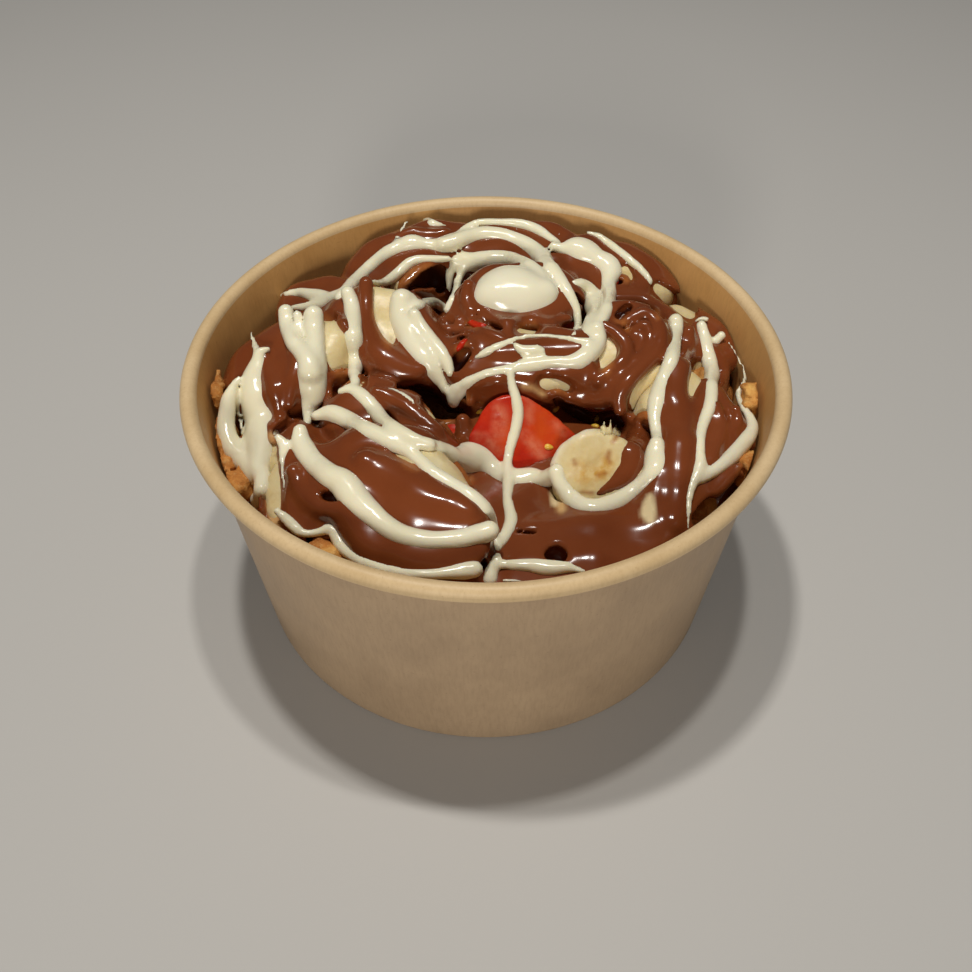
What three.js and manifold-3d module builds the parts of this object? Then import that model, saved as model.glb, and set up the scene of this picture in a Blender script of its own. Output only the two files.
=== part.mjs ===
// Waffle bowl: a round kraft paper bowl filled with cut waffle pieces, banana slices and
// strawberries under milk chocolate and white chocolate sauce.
// Millimetres, +Z up, origin at the centre of the foot ring's underside.

import * as THREE from 'three';
import { mergeVertices } from 'three/addons/utils/BufferGeometryUtils.js';
import Module from 'manifold-3d';

const wasm = await Module();
wasm.setup();

// ---------- driving dimensions ----------

const RIM_RADIUS = 75;             // outside of the rolled rim
const BOWL_HEIGHT = 74;            // floor to top of the rolled rim
const ROLL_HALF_WIDTH = 2.35;      // rolled rim, across
const ROLL_HALF_HEIGHT = 2.1;      // rolled rim, up and down
const BASE_RADIUS = 64;            // outside of the wall at the floor
const NECK_RADIUS = 71.15;         // outside of the wall just under the rolled rim
const WALL = 0.9;                  // paper wall thickness
const GAP = 0.3;                   // clearance between pieces that touch

const BASE_RECESS = 8;             // underside of the base disc above the floor
const BASE_THICKNESS = 0.8;
const SKIRT_THICKNESS = 0.6;       // downturned edge of the base disc
const SKIRT_BOTTOM = 0.95;
const FOLD_THICKNESS = 0.7;        // wall paper folded in and up round the skirt
const FOLD_TOP = 6.8;
const FOLD_FLOOR = 0.6;            // thickness of the fold where the bowl stands

const ROUND_SEGMENTS = 48;
const BED_LEVEL = 50;              // mean height of the buried waffle pieces
const BED_RELIEF = 2.5;
const FOOD_CEILING = 100;

const KRAFT = { color: 0x9c7a52, roughness: 0.75, metalness: 0 };
const WAFFLE = { color: 0xc08a45, roughness: 0.85, metalness: 0 };
const BANANA = { color: 0xdcc893, roughness: 0.45, metalness: 0 };
const STRAWBERRY = { color: 0xb8321c, roughness: 0.35, metalness: 0 };
const MILK_CHOCOLATE = { color: 0x6e3a22, roughness: 0.25, metalness: 0 };
const WHITE_CHOCOLATE = { color: 0xe7e2cc, roughness: 0.25, metalness: 0 };

// ---------- placed food: centre, half sizes, and how each piece lies ----------
// size is [half length, half width, half thickness]; spin turns the piece in its own plane,
// lean tips its upper face away from +Z, and toward says which way it tips (0 is towards -Y).

const BANANAS = [
  { name: 'banana_slice_facing', at: [27, -28.5, 60], size: [12.5, 12, 4.5], spin: 0, lean: 42, toward: 2 },
  { name: 'banana_slice_centre', at: [9.5, 5, 66], size: [21.5, 10, 7.5], spin: 3, lean: 20, toward: -6 },
  { name: 'banana_slice_crest', at: [8, 26, 67.5], size: [18, 13.5, 7.5], spin: 10, lean: 12, toward: 10 },
  { name: 'banana_slice_front', at: [-18.5, -39.5, 61], size: [24, 16, 8.5], spin: -32, lean: 16, toward: -20 },
  { name: 'banana_slice_front_left', at: [-42, -33, 57], size: [13.5, 11, 8], spin: -50, lean: 20, toward: -45 },
  { name: 'banana_slice_mid_left', at: [-23, -15.5, 60.5], size: [19, 11.5, 7.5], spin: -30, lean: 24, toward: -10 },
  { name: 'banana_slice_inner_left', at: [-26, 15, 65.5], size: [18, 14, 8.5], spin: -42, lean: 18, toward: -5 },
  { name: 'banana_slice_left', at: [-50, 5.5, 64], size: [18.5, 13, 8.5], spin: 80, lean: 22, toward: -60 },
  { name: 'banana_slice_left_front', at: [-52, -19, 54.5], size: [13, 9, 8], spin: 75, lean: 24, toward: -60 },
  { name: 'banana_slice_left_back', at: [-43, 28, 62], size: [14.5, 12, 8.5], spin: 30, lean: 14, toward: -60 },
  { name: 'banana_slice_back_left', at: [-22, 50, 64.5], size: [21, 11, 8], spin: 34, lean: 12, toward: 0 },
  { name: 'banana_slice_back', at: [10, 54.5, 64.5], size: [21, 11, 8.5], spin: -4, lean: 10, toward: 0 },
  { name: 'banana_slice_back_right', at: [35.5, 44, 62.5], size: [18, 13.5, 8.5], spin: -46, lean: 12, toward: 30 },
  { name: 'banana_slice_right_back', at: [55, 21, 58.5], size: [13, 10.5, 8.5], spin: 78, lean: 16, toward: 50 },
  { name: 'banana_slice_inner_right', at: [35.5, 8, 65.5], size: [16, 13, 8.5], spin: 64, lean: 14, toward: 10 },
  { name: 'banana_slice_right', at: [51, -12, 58.5], size: [21.5, 12.5, 8.5], spin: 84, lean: 18, toward: 40 },
  { name: 'banana_slice_right_front', at: [47, -31, 55], size: [14, 11.5, 8], spin: 60, lean: 26, toward: 34 },
];

const STRAWBERRIES = [
  { name: 'strawberry_half_front', at: [10.5, -16, 58.5], size: [16, 12.5, 9], spin: -8, lean: 46, toward: 4 },
  { name: 'strawberry_piece_left', at: [-13, -1, 55.5], size: [11, 8, 6], spin: 160, lean: 12, toward: -30 },
  { name: 'strawberry_piece_back', at: [-5, 22, 59], size: [10, 7, 6], spin: -150, lean: 20, toward: -10 },
  { name: 'strawberry_piece_right', at: [30, 22, 63], size: [8, 6.5, 5], spin: 40, lean: 20, toward: 0 },
];

const WAFFLES = [
  { name: 'waffle_piece_left', at: [-58.5, -3, 47.5], size: [15, 12, 7], spin: 88, lean: 58, toward: -86 },
  { name: 'waffle_piece_left_front', at: [-56, -23, 46.5], size: [15, 12, 6.5], spin: 62, lean: 52, toward: -60 },
  { name: 'waffle_piece_front', at: [-34, -48, 46], size: [16, 12, 7], spin: 34, lean: 40, toward: -32 },
  { name: 'waffle_piece_right', at: [59.5, 4, 47.5], size: [14, 12, 7], spin: 92, lean: 58, toward: 84 },
  { name: 'waffle_piece_right_front', at: [58, -23, 46.5], size: [15, 11, 6.5], spin: 118, lean: 54, toward: 64 },
];

const SAUCE_POOLS = [
  { name: 'chocolate_pool_front', at: [25, -46, 54], size: [28, 15, 9], spin: 22, lean: 6, toward: 0 },
];

const WHITE_DROP = {
  name: 'white_chocolate_drop', at: [7.6, 20.2, 75.6], size: [9.8, 8, 2.8], spin: 6, lean: 18, toward: 0,
};

const degrees = Math.PI / 180;

// ---------- shape helpers ----------

function outerWallRadius(height) {
  const neckHeight = BOWL_HEIGHT - 2 * ROLL_HALF_HEIGHT;
  return BASE_RADIUS + (NECK_RADIUS - BASE_RADIUS) * height / neckHeight;
}

function innerWallRadius(height) {
  return outerWallRadius(height) - WALL;
}

function lathe(points) {
  const geometry = new THREE.LatheGeometry(points, ROUND_SEGMENTS);
  geometry.rotateX(90 * degrees);
  return geometry;
}

function profile(pairs) {
  return pairs.map(([radius, height]) => new THREE.Vector2(radius, height));
}

function toSolid(geometry) {
  const bare = geometry.index ? geometry.toNonIndexed() : geometry.clone();
  bare.deleteAttribute('normal');
  bare.deleteAttribute('uv');
  const merged = mergeVertices(bare, 1e-4);
  const mesh = new wasm.Mesh({
    numProp: 3,
    vertProperties: Float32Array.from(merged.attributes.position.array),
    triVerts: Uint32Array.from(merged.index.array),
  });
  return new wasm.Manifold(mesh);
}

function toGeometry(solid) {
  const mesh = solid.getMesh();
  const geometry = new THREE.BufferGeometry();
  geometry.setAttribute('position', new THREE.BufferAttribute(mesh.vertProperties, 3));
  geometry.setIndex(new THREE.BufferAttribute(mesh.triVerts, 1));
  geometry.computeVertexNormals();
  return geometry;
}

function largestPart(solid) {
  const parts = solid.decompose();
  return parts.reduce((best, part) => (part.volume() > best.volume() ? part : best));
}

function lay(geometry, piece) {
  geometry.rotateZ(piece.spin * degrees);
  geometry.rotateX(piece.lean * degrees);
  geometry.rotateZ(piece.toward * degrees);
  geometry.translate(...piece.at);
  return geometry;
}

// A closed body of revolution about Z whose rings are squeezed to an ellipse and
// waved slightly, so that cut fruit keeps an uneven outline.
function turnedBody(rings, halfLength, halfWidth, segments, waves, waveDepth) {
  const points = profile(rings);
  const geometry = new THREE.LatheGeometry(points, segments);
  geometry.rotateX(90 * degrees);
  const position = geometry.attributes.position;
  for (let i = 0; i < position.count; i += 1) {
    const x = position.getX(i);
    const y = position.getY(i);
    const ripple = 1 + waveDepth * Math.cos(waves * Math.atan2(y, x));
    position.setXY(i, x * halfLength * ripple, y * halfWidth * ripple);
  }
  return geometry;
}

// ---------- food pieces, each able to grow by a clearance ----------

function bananaSlice(piece, grow) {
  const [halfLength, halfWidth, halfThickness] = piece.size;
  const thickness = halfThickness + grow;
  const edge = 0.26;                 // part of the radius taken by the rounded edge
  const edgeSteps = 3;
  const rings = [[0, -thickness]];
  for (let i = 0; i <= edgeSteps; i += 1) {
    const turn = Math.PI * i / edgeSteps - Math.PI / 2;
    rings.push([1 - edge + edge * Math.cos(turn), thickness * Math.sin(turn) * 0.94]);
  }
  rings.push([0, thickness]);
  return lay(turnedBody(rings, halfLength + grow, halfWidth + grow, 14, 3, 0.03), piece);
}

function strawberryHalf(piece, grow) {
  const [halfLength, halfWidth, depth] = piece.size;
  const steps = 7;
  const length = halfLength + grow;
  const rings = [];
  for (let i = 0; i <= steps; i += 1) {
    const along = i / steps;
    const taper = Math.sin(Math.PI * Math.pow(along, 0.72));
    rings.push([Math.max(0, taper) * (halfWidth + grow), (along * 2 - 1) * length]);
  }
  rings[0][0] = 0;
  rings[steps][0] = 0;
  const berry = new THREE.LatheGeometry(profile(rings), 14);
  berry.rotateZ(-90 * degrees);
  berry.scale(1, 1, depth / halfWidth);
  const under = new THREE.BoxGeometry(4 * length, 4 * length, 2 * length);
  under.translate(0, 0, grow - length);
  const half = toSolid(berry).intersect(toSolid(under));
  return lay(toGeometry(half), piece);
}

// A piece cut from a thick waffle: a rounded block with square pockets in both faces.
function wafflePiece(piece, grow) {
  const [halfLength, halfWidth, halfThickness] = piece.size;
  const a = halfLength + grow;
  const b = halfWidth + grow;
  const corner = 4;
  const outline = new THREE.Shape();
  outline.moveTo(-a + corner, -b);
  outline.lineTo(a, -b);
  outline.lineTo(a, b);
  outline.lineTo(-a + corner, b);
  outline.absarc(-a + corner, b - corner, corner, 90 * degrees, 180 * degrees, false);
  outline.absarc(-a + corner, -b + corner, corner, 180 * degrees, 270 * degrees, false);
  const block = new THREE.ExtrudeGeometry(outline, {
    depth: 2 * (halfThickness + grow), bevelEnabled: false, curveSegments: 3,
  });
  block.translate(0, 0, -halfThickness - grow);
  let solid = toSolid(block);
  if (grow === 0) {
    const pocketPitch = 14;
    const pocketDepth = 4;
    const pocketHalf = 4.6;
    for (const side of [-1, 1]) {
      for (const step of [-0.5, 0.5]) {
        const pocket = new THREE.CylinderGeometry(
          pocketHalf * Math.SQRT2, pocketHalf, 2 * pocketDepth, 4, 1,
        );
        pocket.rotateY(45 * degrees);
        pocket.rotateX(side * 90 * degrees);
        pocket.translate(step * pocketPitch, 0, side * halfThickness);
        solid = solid.subtract(toSolid(pocket));
      }
    }
  }
  return lay(toGeometry(solid), piece);
}

function saucePool(piece, grow) {
  const [halfLength, halfWidth, halfThickness] = piece.size;
  const rings = [];
  const steps = 6;
  for (let i = 0; i <= steps; i += 1) {
    const turn = Math.PI * i / steps - Math.PI / 2;
    rings.push([Math.cos(turn), (halfThickness + grow) * Math.sin(turn)]);
  }
  rings[0][0] = 0;
  rings[steps][0] = 0;
  return lay(turnedBody(rings, halfLength + grow, halfWidth + grow, 16, 4, 0.04), piece);
}

// ---------- the bowl ----------

function bowlWall() {
  const rollCentreRadius = RIM_RADIUS - ROLL_HALF_WIDTH;
  const rollCentreHeight = BOWL_HEIGHT - ROLL_HALF_HEIGHT;
  const neckHeight = BOWL_HEIGHT - 2 * ROLL_HALF_HEIGHT;
  const foldOuter = innerWallRadius(SKIRT_BOTTOM) - 2 * GAP - SKIRT_THICKNESS;
  const points = profile([
    [foldOuter - FOLD_THICKNESS, 0],
    [BASE_RADIUS, 0],
    [outerWallRadius(neckHeight * 0.5), neckHeight * 0.5],
    [NECK_RADIUS, neckHeight + 0.5],
  ]);
  const rollTurns = [-112, -75, -37.5, 0, 30, 60, 90, 120, 150, 180];
  for (const rollTurn of rollTurns) {
    const turn = rollTurn * degrees;
    points.push(new THREE.Vector2(
      rollCentreRadius + ROLL_HALF_WIDTH * Math.cos(turn),
      rollCentreHeight + ROLL_HALF_HEIGHT * Math.sin(turn),
    ));
  }
  points.push(...profile([
    [innerWallRadius(neckHeight), neckHeight],
    [innerWallRadius(FOLD_FLOOR), FOLD_FLOOR],
    [foldOuter, FOLD_FLOOR],
    [foldOuter, FOLD_TOP],
    [foldOuter - FOLD_THICKNESS, FOLD_TOP],
    [foldOuter - FOLD_THICKNESS, 0],
  ]));
  return lathe(points);
}

function bowlBase() {
  const top = BASE_RECESS + BASE_THICKNESS;
  const skirtOuterTop = innerWallRadius(top) - GAP;
  const skirtOuterBottom = innerWallRadius(SKIRT_BOTTOM) - GAP;
  return lathe(profile([
    [0, BASE_RECESS],
    [skirtOuterBottom - SKIRT_THICKNESS, BASE_RECESS],
    [skirtOuterBottom - SKIRT_THICKNESS, SKIRT_BOTTOM],
    [skirtOuterBottom, SKIRT_BOTTOM],
    [skirtOuterTop, top],
    [0, top],
  ]));
}

// The room that food may take: everything inside the wall, above the base disc.
function foodRoom() {
  const floor = BASE_RECESS + BASE_THICKNESS + GAP;
  return toSolid(lathe(profile([
    [0, floor],
    [innerWallRadius(floor) - GAP, floor],
    [innerWallRadius(FOOD_CEILING) - GAP, FOOD_CEILING],
    [0, FOOD_CEILING],
  ])));
}

// The waffle pieces packed below the toppings, as one mass with an uneven top.
function waffleBed() {
  const floor = BASE_RECESS + BASE_THICKNESS + GAP;
  const rings = 6;
  const pairs = [[0, floor], [innerWallRadius(floor) - 2 * GAP, floor]];
  for (let i = 0; i <= rings; i += 1) {
    const reach = 1 - i / rings;
    pairs.push([(innerWallRadius(BED_LEVEL) - 2 * GAP) * reach, BED_LEVEL]);
  }
  const geometry = lathe(profile(pairs));
  const position = geometry.attributes.position;
  for (let i = 0; i < position.count; i += 1) {
    if (position.getZ(i) > BED_LEVEL - 1) {
      const x = position.getX(i);
      const y = position.getY(i);
      const lumps = Math.sin(x * 0.16 + 1.2) * Math.cos(y * 0.14) + Math.sin((x + y) * 0.07);
      position.setZ(i, BED_LEVEL + BED_RELIEF * lumps / 2);
    }
  }
  return geometry;
}

// ---------- assembly ----------

const bowl = new THREE.Group();

function addMesh(name, geometry, finish) {
  const mesh = new THREE.Mesh(geometry, new THREE.MeshStandardMaterial(finish));
  mesh.name = name;
  bowl.add(mesh);
}

addMesh('bowl_wall', bowlWall(), KRAFT);
addMesh('bowl_base', bowlBase(), KRAFT);

const room = foodRoom();
let taken = null;

// Each piece gives way to those laid before it, keeping the clearance to them.
function layPiece(piece, shape, finish) {
  let solid = toSolid(shape(piece, 0)).intersect(room);
  if (taken) {
    solid = solid.subtract(taken);
  }
  addMesh(piece.name, toGeometry(largestPart(solid)), finish);
  const grown = toSolid(shape(piece, GAP));
  taken = taken ? taken.add(grown) : grown;
}

STRAWBERRIES.slice(0, 1).forEach((piece) => layPiece(piece, strawberryHalf, STRAWBERRY));
BANANAS.forEach((piece) => layPiece(piece, bananaSlice, BANANA));
STRAWBERRIES.slice(1).forEach((piece) => layPiece(piece, strawberryHalf, STRAWBERRY));
layPiece(WHITE_DROP, saucePool, WHITE_CHOCOLATE);
WAFFLES.forEach((piece) => layPiece(piece, wafflePiece, WAFFLE));
SAUCE_POOLS.forEach((piece) => layPiece(piece, saucePool, MILK_CHOCOLATE));

const bed = toSolid(waffleBed()).subtract(taken);
addMesh('waffle_bed', toGeometry(largestPart(bed)), WAFFLE);

export default bowl;
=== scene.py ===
"""Looks of the waffle bowl: kraft paper bowl, fruit and waffle pieces, milk and white chocolate sauce.

Lengths are millimetres until a mesh is written, which is in metres. Pixel coordinates are those of
the 972 x 972 view of the camera below; each is cast onto the food that carries it.
"""
import math

import bmesh
import bpy
import numpy as np
from mathutils import Euler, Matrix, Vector


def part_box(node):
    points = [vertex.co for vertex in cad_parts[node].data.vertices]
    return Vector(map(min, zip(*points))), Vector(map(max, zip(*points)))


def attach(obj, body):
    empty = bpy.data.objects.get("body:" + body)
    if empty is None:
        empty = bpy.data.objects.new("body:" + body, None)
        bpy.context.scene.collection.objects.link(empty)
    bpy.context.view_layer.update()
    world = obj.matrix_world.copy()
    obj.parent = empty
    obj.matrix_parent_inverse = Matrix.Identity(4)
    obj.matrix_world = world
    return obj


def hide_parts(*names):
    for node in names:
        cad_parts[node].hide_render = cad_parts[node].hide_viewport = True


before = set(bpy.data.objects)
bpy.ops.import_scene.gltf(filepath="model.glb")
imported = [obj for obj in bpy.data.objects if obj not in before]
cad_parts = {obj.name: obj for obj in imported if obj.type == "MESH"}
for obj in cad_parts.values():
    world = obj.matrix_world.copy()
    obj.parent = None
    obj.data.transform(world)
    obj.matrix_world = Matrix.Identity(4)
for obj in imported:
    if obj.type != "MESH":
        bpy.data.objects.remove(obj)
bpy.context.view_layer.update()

MM = 0.001

# ---------- camera ----------

VIEW_SIZE = 972
FOCAL_PX = 1060.8
SENSOR_MM = 36.0
CAMERA_AT = np.array([0.0, -205.4, 241.8])
CAMERA_PITCH = math.radians(46.31)      # below the horizon
VIEW_FORWARD = np.array([0.0, math.cos(CAMERA_PITCH), -math.sin(CAMERA_PITCH)])
VIEW_RIGHT = np.array([1.0, 0.0, 0.0])
VIEW_UP = np.cross(VIEW_RIGHT, VIEW_FORWARD)


def to_pixels(points):
    """Pixel x, pixel y and distance along the view for points in millimetres."""
    ray = np.asarray(points, dtype=np.float32) - CAMERA_AT.astype(np.float32)
    depth = ray @ VIEW_FORWARD.astype(np.float32)
    px = VIEW_SIZE / 2 + FOCAL_PX * (ray @ VIEW_RIGHT.astype(np.float32)) / depth
    py = VIEW_SIZE / 2 - FOCAL_PX * (ray @ VIEW_UP.astype(np.float32)) / depth
    return px, py, depth


def pixel_rays(pixels):
    """Unit directions from the camera through pixels."""
    pixels = np.asarray(pixels, dtype=float)
    ray = (VIEW_FORWARD * FOCAL_PX
           + VIEW_RIGHT * (pixels[:, :1] - VIEW_SIZE / 2)
           + VIEW_UP * (VIEW_SIZE / 2 - pixels[:, 1:2]))
    return ray / np.linalg.norm(ray, axis=1, keepdims=True)


def add_camera():
    """The fitted camera of the photograph."""
    data = bpy.data.cameras.new("camera")
    data.sensor_width = SENSOR_MM
    data.lens = SENSOR_MM * FOCAL_PX / VIEW_SIZE
    data.clip_start = 0.01
    camera = bpy.data.objects.new("camera", data)
    camera.location = Vector(CAMERA_AT * MM)
    camera.rotation_euler = Euler((math.pi / 2 - CAMERA_PITCH, 0, 0))
    bpy.context.scene.collection.objects.link(camera)
    bpy.context.scene.camera = camera


# ---------- distance fields on a grid ----------

STEP = 0.8      # grid step of the sauces
GRID_LOW = np.array([-72.0, -72.0, 44.0])
GRID_HIGH = np.array([72.0, 72.0, 88.0])
FAR = 30.0
GRID_EDGE = 9.0              # closes what reaches the edge of the grid


class Field:
    """Signed distance in millimetres on a regular grid, negative inside."""

    def __init__(self, low=GRID_LOW, high=GRID_HIGH, step=STEP):
        self.low = np.array(low, dtype=float)
        self.step = step
        self.count = np.ceil((np.array(high) - self.low) / step).astype(int) + 1
        self.value = np.full(self.count, FAR, dtype=np.float32)

    def copy(self):
        """A field on the same grid with its own values."""
        twin = Field.__new__(Field)
        twin.low, twin.step, twin.count = self.low, self.step, self.count
        twin.value = self.value.copy()
        return twin

    def window(self, low, high):
        """Slices of the grid that cover a box."""
        start = np.clip(np.floor((np.array(low) - self.low) / self.step).astype(int), 0, self.count)
        stop = np.clip(np.ceil((np.array(high) - self.low) / self.step).astype(int) + 1, 0, self.count)
        return tuple(slice(a, b) for a, b in zip(start, stop))

    def points(self, where):
        axes = [self.low[k] + self.step * np.arange(where[k].start, where[k].stop) for k in range(3)]
        return np.stack(np.meshgrid(*axes, indexing="ij"), axis=-1).astype(np.float32)

    def join(self, distance, low, high, blend, sign=1):
        """Adds a distance function within a box, or with sign -1 takes it away."""
        where = self.window(low, high)
        if min(s.stop - s.start for s in where) <= 0:
            return
        near = distance(self.points(where))
        self.value[where] = sign * smooth_min(sign * self.value[where], near, blend)

    def everywhere(self):
        return self.points(tuple(slice(0, n) for n in self.count))

    def sample(self, points):
        """Trilinear value at points."""
        at = (np.asarray(points) - self.low) / self.step
        at = np.clip(at, 0, self.count - 1.001)
        base = np.floor(at).astype(int)
        part = at - base
        total = np.zeros(len(at))
        for corner in range(8):
            bits = np.array([(corner >> k) & 1 for k in range(3)])
            weight = np.prod(np.where(bits, part, 1 - part), axis=1)
            i, j, k = (base + bits).T
            total += weight * self.value[i, j, k]
        return total

    def slope(self, points, reach=1.0):
        """Unit outward direction at points."""
        points = np.asarray(points, dtype=float)
        grad = np.empty_like(points)
        for k in range(3):
            ahead = points.copy()
            behind = points.copy()
            ahead[:, k] += reach
            behind[:, k] -= reach
            grad[:, k] = self.sample(ahead) - self.sample(behind)
        length = np.linalg.norm(grad, axis=1, keepdims=True)
        return grad / np.maximum(length, 1e-6)


def smooth_min(a, b, blend):
    """The lesser of two distances, rounded where they meet."""
    if blend <= 0:
        return np.minimum(a, b)
    mix = np.maximum(blend - np.abs(a - b), 0) / blend
    return np.minimum(a, b) - mix * mix * blend * 0.25


def net_mesh(field, name):
    """A closed quad mesh of the surface where the field is zero."""
    value = field.value.copy()
    for axis in range(3):
        np.moveaxis(value, axis, 0)[[0, -1]] = GRID_EDGE
    inside = value < 0
    nx, ny, nz = (n - 1 for n in inside.shape)
    held = np.zeros((nx, ny, nz), dtype=np.uint8)
    corners = [(i, j, k) for i in (0, 1) for j in (0, 1) for k in (0, 1)]
    for i, j, k in corners:
        held += inside[i:i + nx, j:j + ny, k:k + nz]
    cells = np.argwhere((held > 0) & (held < 8))
    number = np.full((nx, ny, nz), -1, dtype=np.int32)
    number[tuple(cells.T)] = np.arange(len(cells))
    total = np.zeros((len(cells), 3))
    crossings = np.zeros(len(cells))
    for a in corners:
        for axis in range(3):
            if a[axis]:
                continue
            b = list(a)
            b[axis] = 1
            va = value[tuple((cells + a).T)]
            vb = value[tuple((cells + b).T)]
            crossed = (va < 0) != (vb < 0)
            part = np.where(crossed, va / np.where(crossed, va - vb, 1), 0)
            point = np.tile(np.array(a, dtype=float), (len(cells), 1))
            point[:, axis] += part
            total += point * crossed[:, None]
            crossings += crossed
    verts = (cells + total / crossings[:, None]) * field.step + field.low
    quads = []
    for axis in range(3):
        u, v = (axis + 1) % 3, (axis + 2) % 3
        lower = [slice(1, n) for n in (nx, ny, nz)]
        lower[axis] = slice(0, (nx, ny, nz)[axis])
        upper = list(lower)
        upper[axis] = slice(1, (nx, ny, nz)[axis] + 1)
        va, vb = inside[tuple(lower)], inside[tuple(upper)]
        edges = np.argwhere(va != vb)
        starts = edges + [s.start for s in lower]
        leaving = va[tuple(edges.T)]
        ring = []
        for du, dv in ((0, 0), (1, 0), (1, 1), (0, 1)):
            cell = starts.copy()
            cell[:, u] -= du
            cell[:, v] -= dv
            ring.append(number[tuple(cell.T)])
        ring = np.stack(ring, axis=1)
        ring[~leaving] = ring[~leaving][:, ::-1]
        quads.append(ring)
    return mesh_object(name, verts, np.concatenate(quads))


def mesh_object(name, verts, faces):
    """A smooth shaded object from millimetres."""
    mesh = bpy.data.meshes.new(name)
    verts = np.asarray(verts, dtype=np.float32) * MM
    mesh.from_pydata(verts.tolist(), [], faces if isinstance(faces, list) else faces.tolist())
    mesh.validate()
    mesh.update()
    mesh.shade_smooth()
    piece = bpy.data.objects.new(name, mesh)
    bpy.context.scene.collection.objects.link(piece)
    return piece


# ---------- distance functions ----------

def wander(points, amount, pitch, seed):
    """Points nudged by slow waves, so that no food is a perfect shape."""
    spin = np.random.default_rng(seed).uniform(0, 2 * math.pi, (3, 3)).astype(np.float32)
    turns = 2 * math.pi / pitch
    moved = points.copy()
    for k in range(3):
        a, b = points[..., (k + 1) % 3], points[..., (k + 2) % 3]
        moved[..., k] += amount * (np.sin(a * turns + spin[k, 0])
                                   + 0.6 * np.sin(b * turns * 1.7 + spin[k, 1])) * 0.7
    return moved


def hull_of(node):
    """Outward planes (normals, offsets) of a frame node's convex hull, in millimetres."""
    shape = bmesh.new()
    shape.from_mesh(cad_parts[node].data)
    hull = bmesh.ops.convex_hull(shape, input=shape.verts)
    rows = set()
    for part in hull["geom"]:
        if isinstance(part, bmesh.types.BMFace) and part.calc_area() > 1e-9:
            part.normal_update()
            offset = part.normal.dot(part.verts[0].co) / MM
            rows.add(tuple(round(c, 2) for c in part.normal) + (round(offset, 1),))
    shape.free()
    rows = np.array(sorted(rows), dtype=np.float32)
    return rows[:, :3], rows[:, 3]


def node_box(node):
    """Corners of a frame node's box in millimetres."""
    low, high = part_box(node)
    return np.array(low) / MM, np.array(high) / MM


class Lump:
    """A frame node's rounded hull as a distance function."""

    def __init__(self, node, rounding=0.7, uneven=0.5, pitch=17.0, seed=0):
        self.normals, self.offsets = hull_of(node)
        self.low, self.high = node_box(node)
        self.rounding = rounding
        self.uneven, self.pitch, self.seed = uneven, pitch, seed

    def __call__(self, points):
        moved = wander(points, self.uneven, self.pitch, self.seed)
        total = np.zeros(points.shape[:-1], dtype=np.float32)
        for normal, offset in zip(self.normals, self.offsets):
            total += np.exp(np.clip((moved @ normal - offset) / self.rounding, -30, 30))
        return self.rounding * (np.log(total) - 0.6)


def grown(shape, amount):
    """A distance function moved outwards."""
    return lambda points: shape(points) - amount


def curve_points(knots, spacing):
    """Catmull-Rom curve through knots of any width, sampled about every spacing."""
    knots = np.array(knots, dtype=float)
    if len(knots) == 1:
        return knots
    padded = np.vstack([2 * knots[0] - knots[1], knots, 2 * knots[-1] - knots[-2]])
    out = []
    for a, b, c, d in zip(padded, padded[1:], padded[2:], padded[3:]):
        steps = max(1, int(np.linalg.norm((c - b)[:2]) / spacing))
        for t in np.arange(steps) / steps:
            out.append(0.5 * (2 * b + (c - a) * t + (2 * a - 5 * b + 4 * c - d) * t ** 2
                              + (3 * b - a - 3 * c + d) * t ** 3))
    out.append(knots[-1])
    return np.array(out)


CAST_STEPS = 480
CAST_STRIDE = (0.12, 3.0)    # shortest and longest step along a ray
CAST_CAUTION = 0.8           # part of the distance to the surface that one step takes


def cast(surface, pixels):
    """Distance from the camera to the surface along each pixel's ray."""
    rays = pixel_rays(pixels)
    travel = (GRID_HIGH[2] - CAMERA_AT[2]) / rays[:, 2]
    hit = np.zeros(len(rays), dtype=bool)
    for _ in range(CAST_STEPS):
        value = surface.sample(CAMERA_AT + rays * travel[:, None])
        hit |= value <= 0
        if hit.all():
            break
        travel = np.where(hit, travel, travel + np.clip(value * CAST_CAUTION, *CAST_STRIDE))
        below = (CAMERA_AT + rays * travel[:, None])[:, 2] < GRID_LOW[2] + 2
        hit |= below
    return travel, rays


def bridged(travel, reach):
    """Lets a strand span dips narrower than reach samples instead of diving into them."""
    count = len(travel)
    if count < 3:
        return travel

    def around(row, width):
        index = np.arange(count)
        return [row[np.clip(index + s, 0, count - 1)] for s in range(-width, width + 1)]
    opened = np.max(around(np.min(around(travel, reach), axis=0), reach), axis=0)
    held = np.minimum(np.mean(around(opened, reach), axis=0), travel)
    return np.mean(around(held, 2), axis=0)


WIDTH_SMOOTHING = (0.12, 0.22, 0.32, 0.22, 0.12)
STRAND_FULLNESS = 1.15       # height of a strand over that of its eased crown
SEEN_TILT = 0.25             # how far a strand leans towards the camera from the surface's slope


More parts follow.
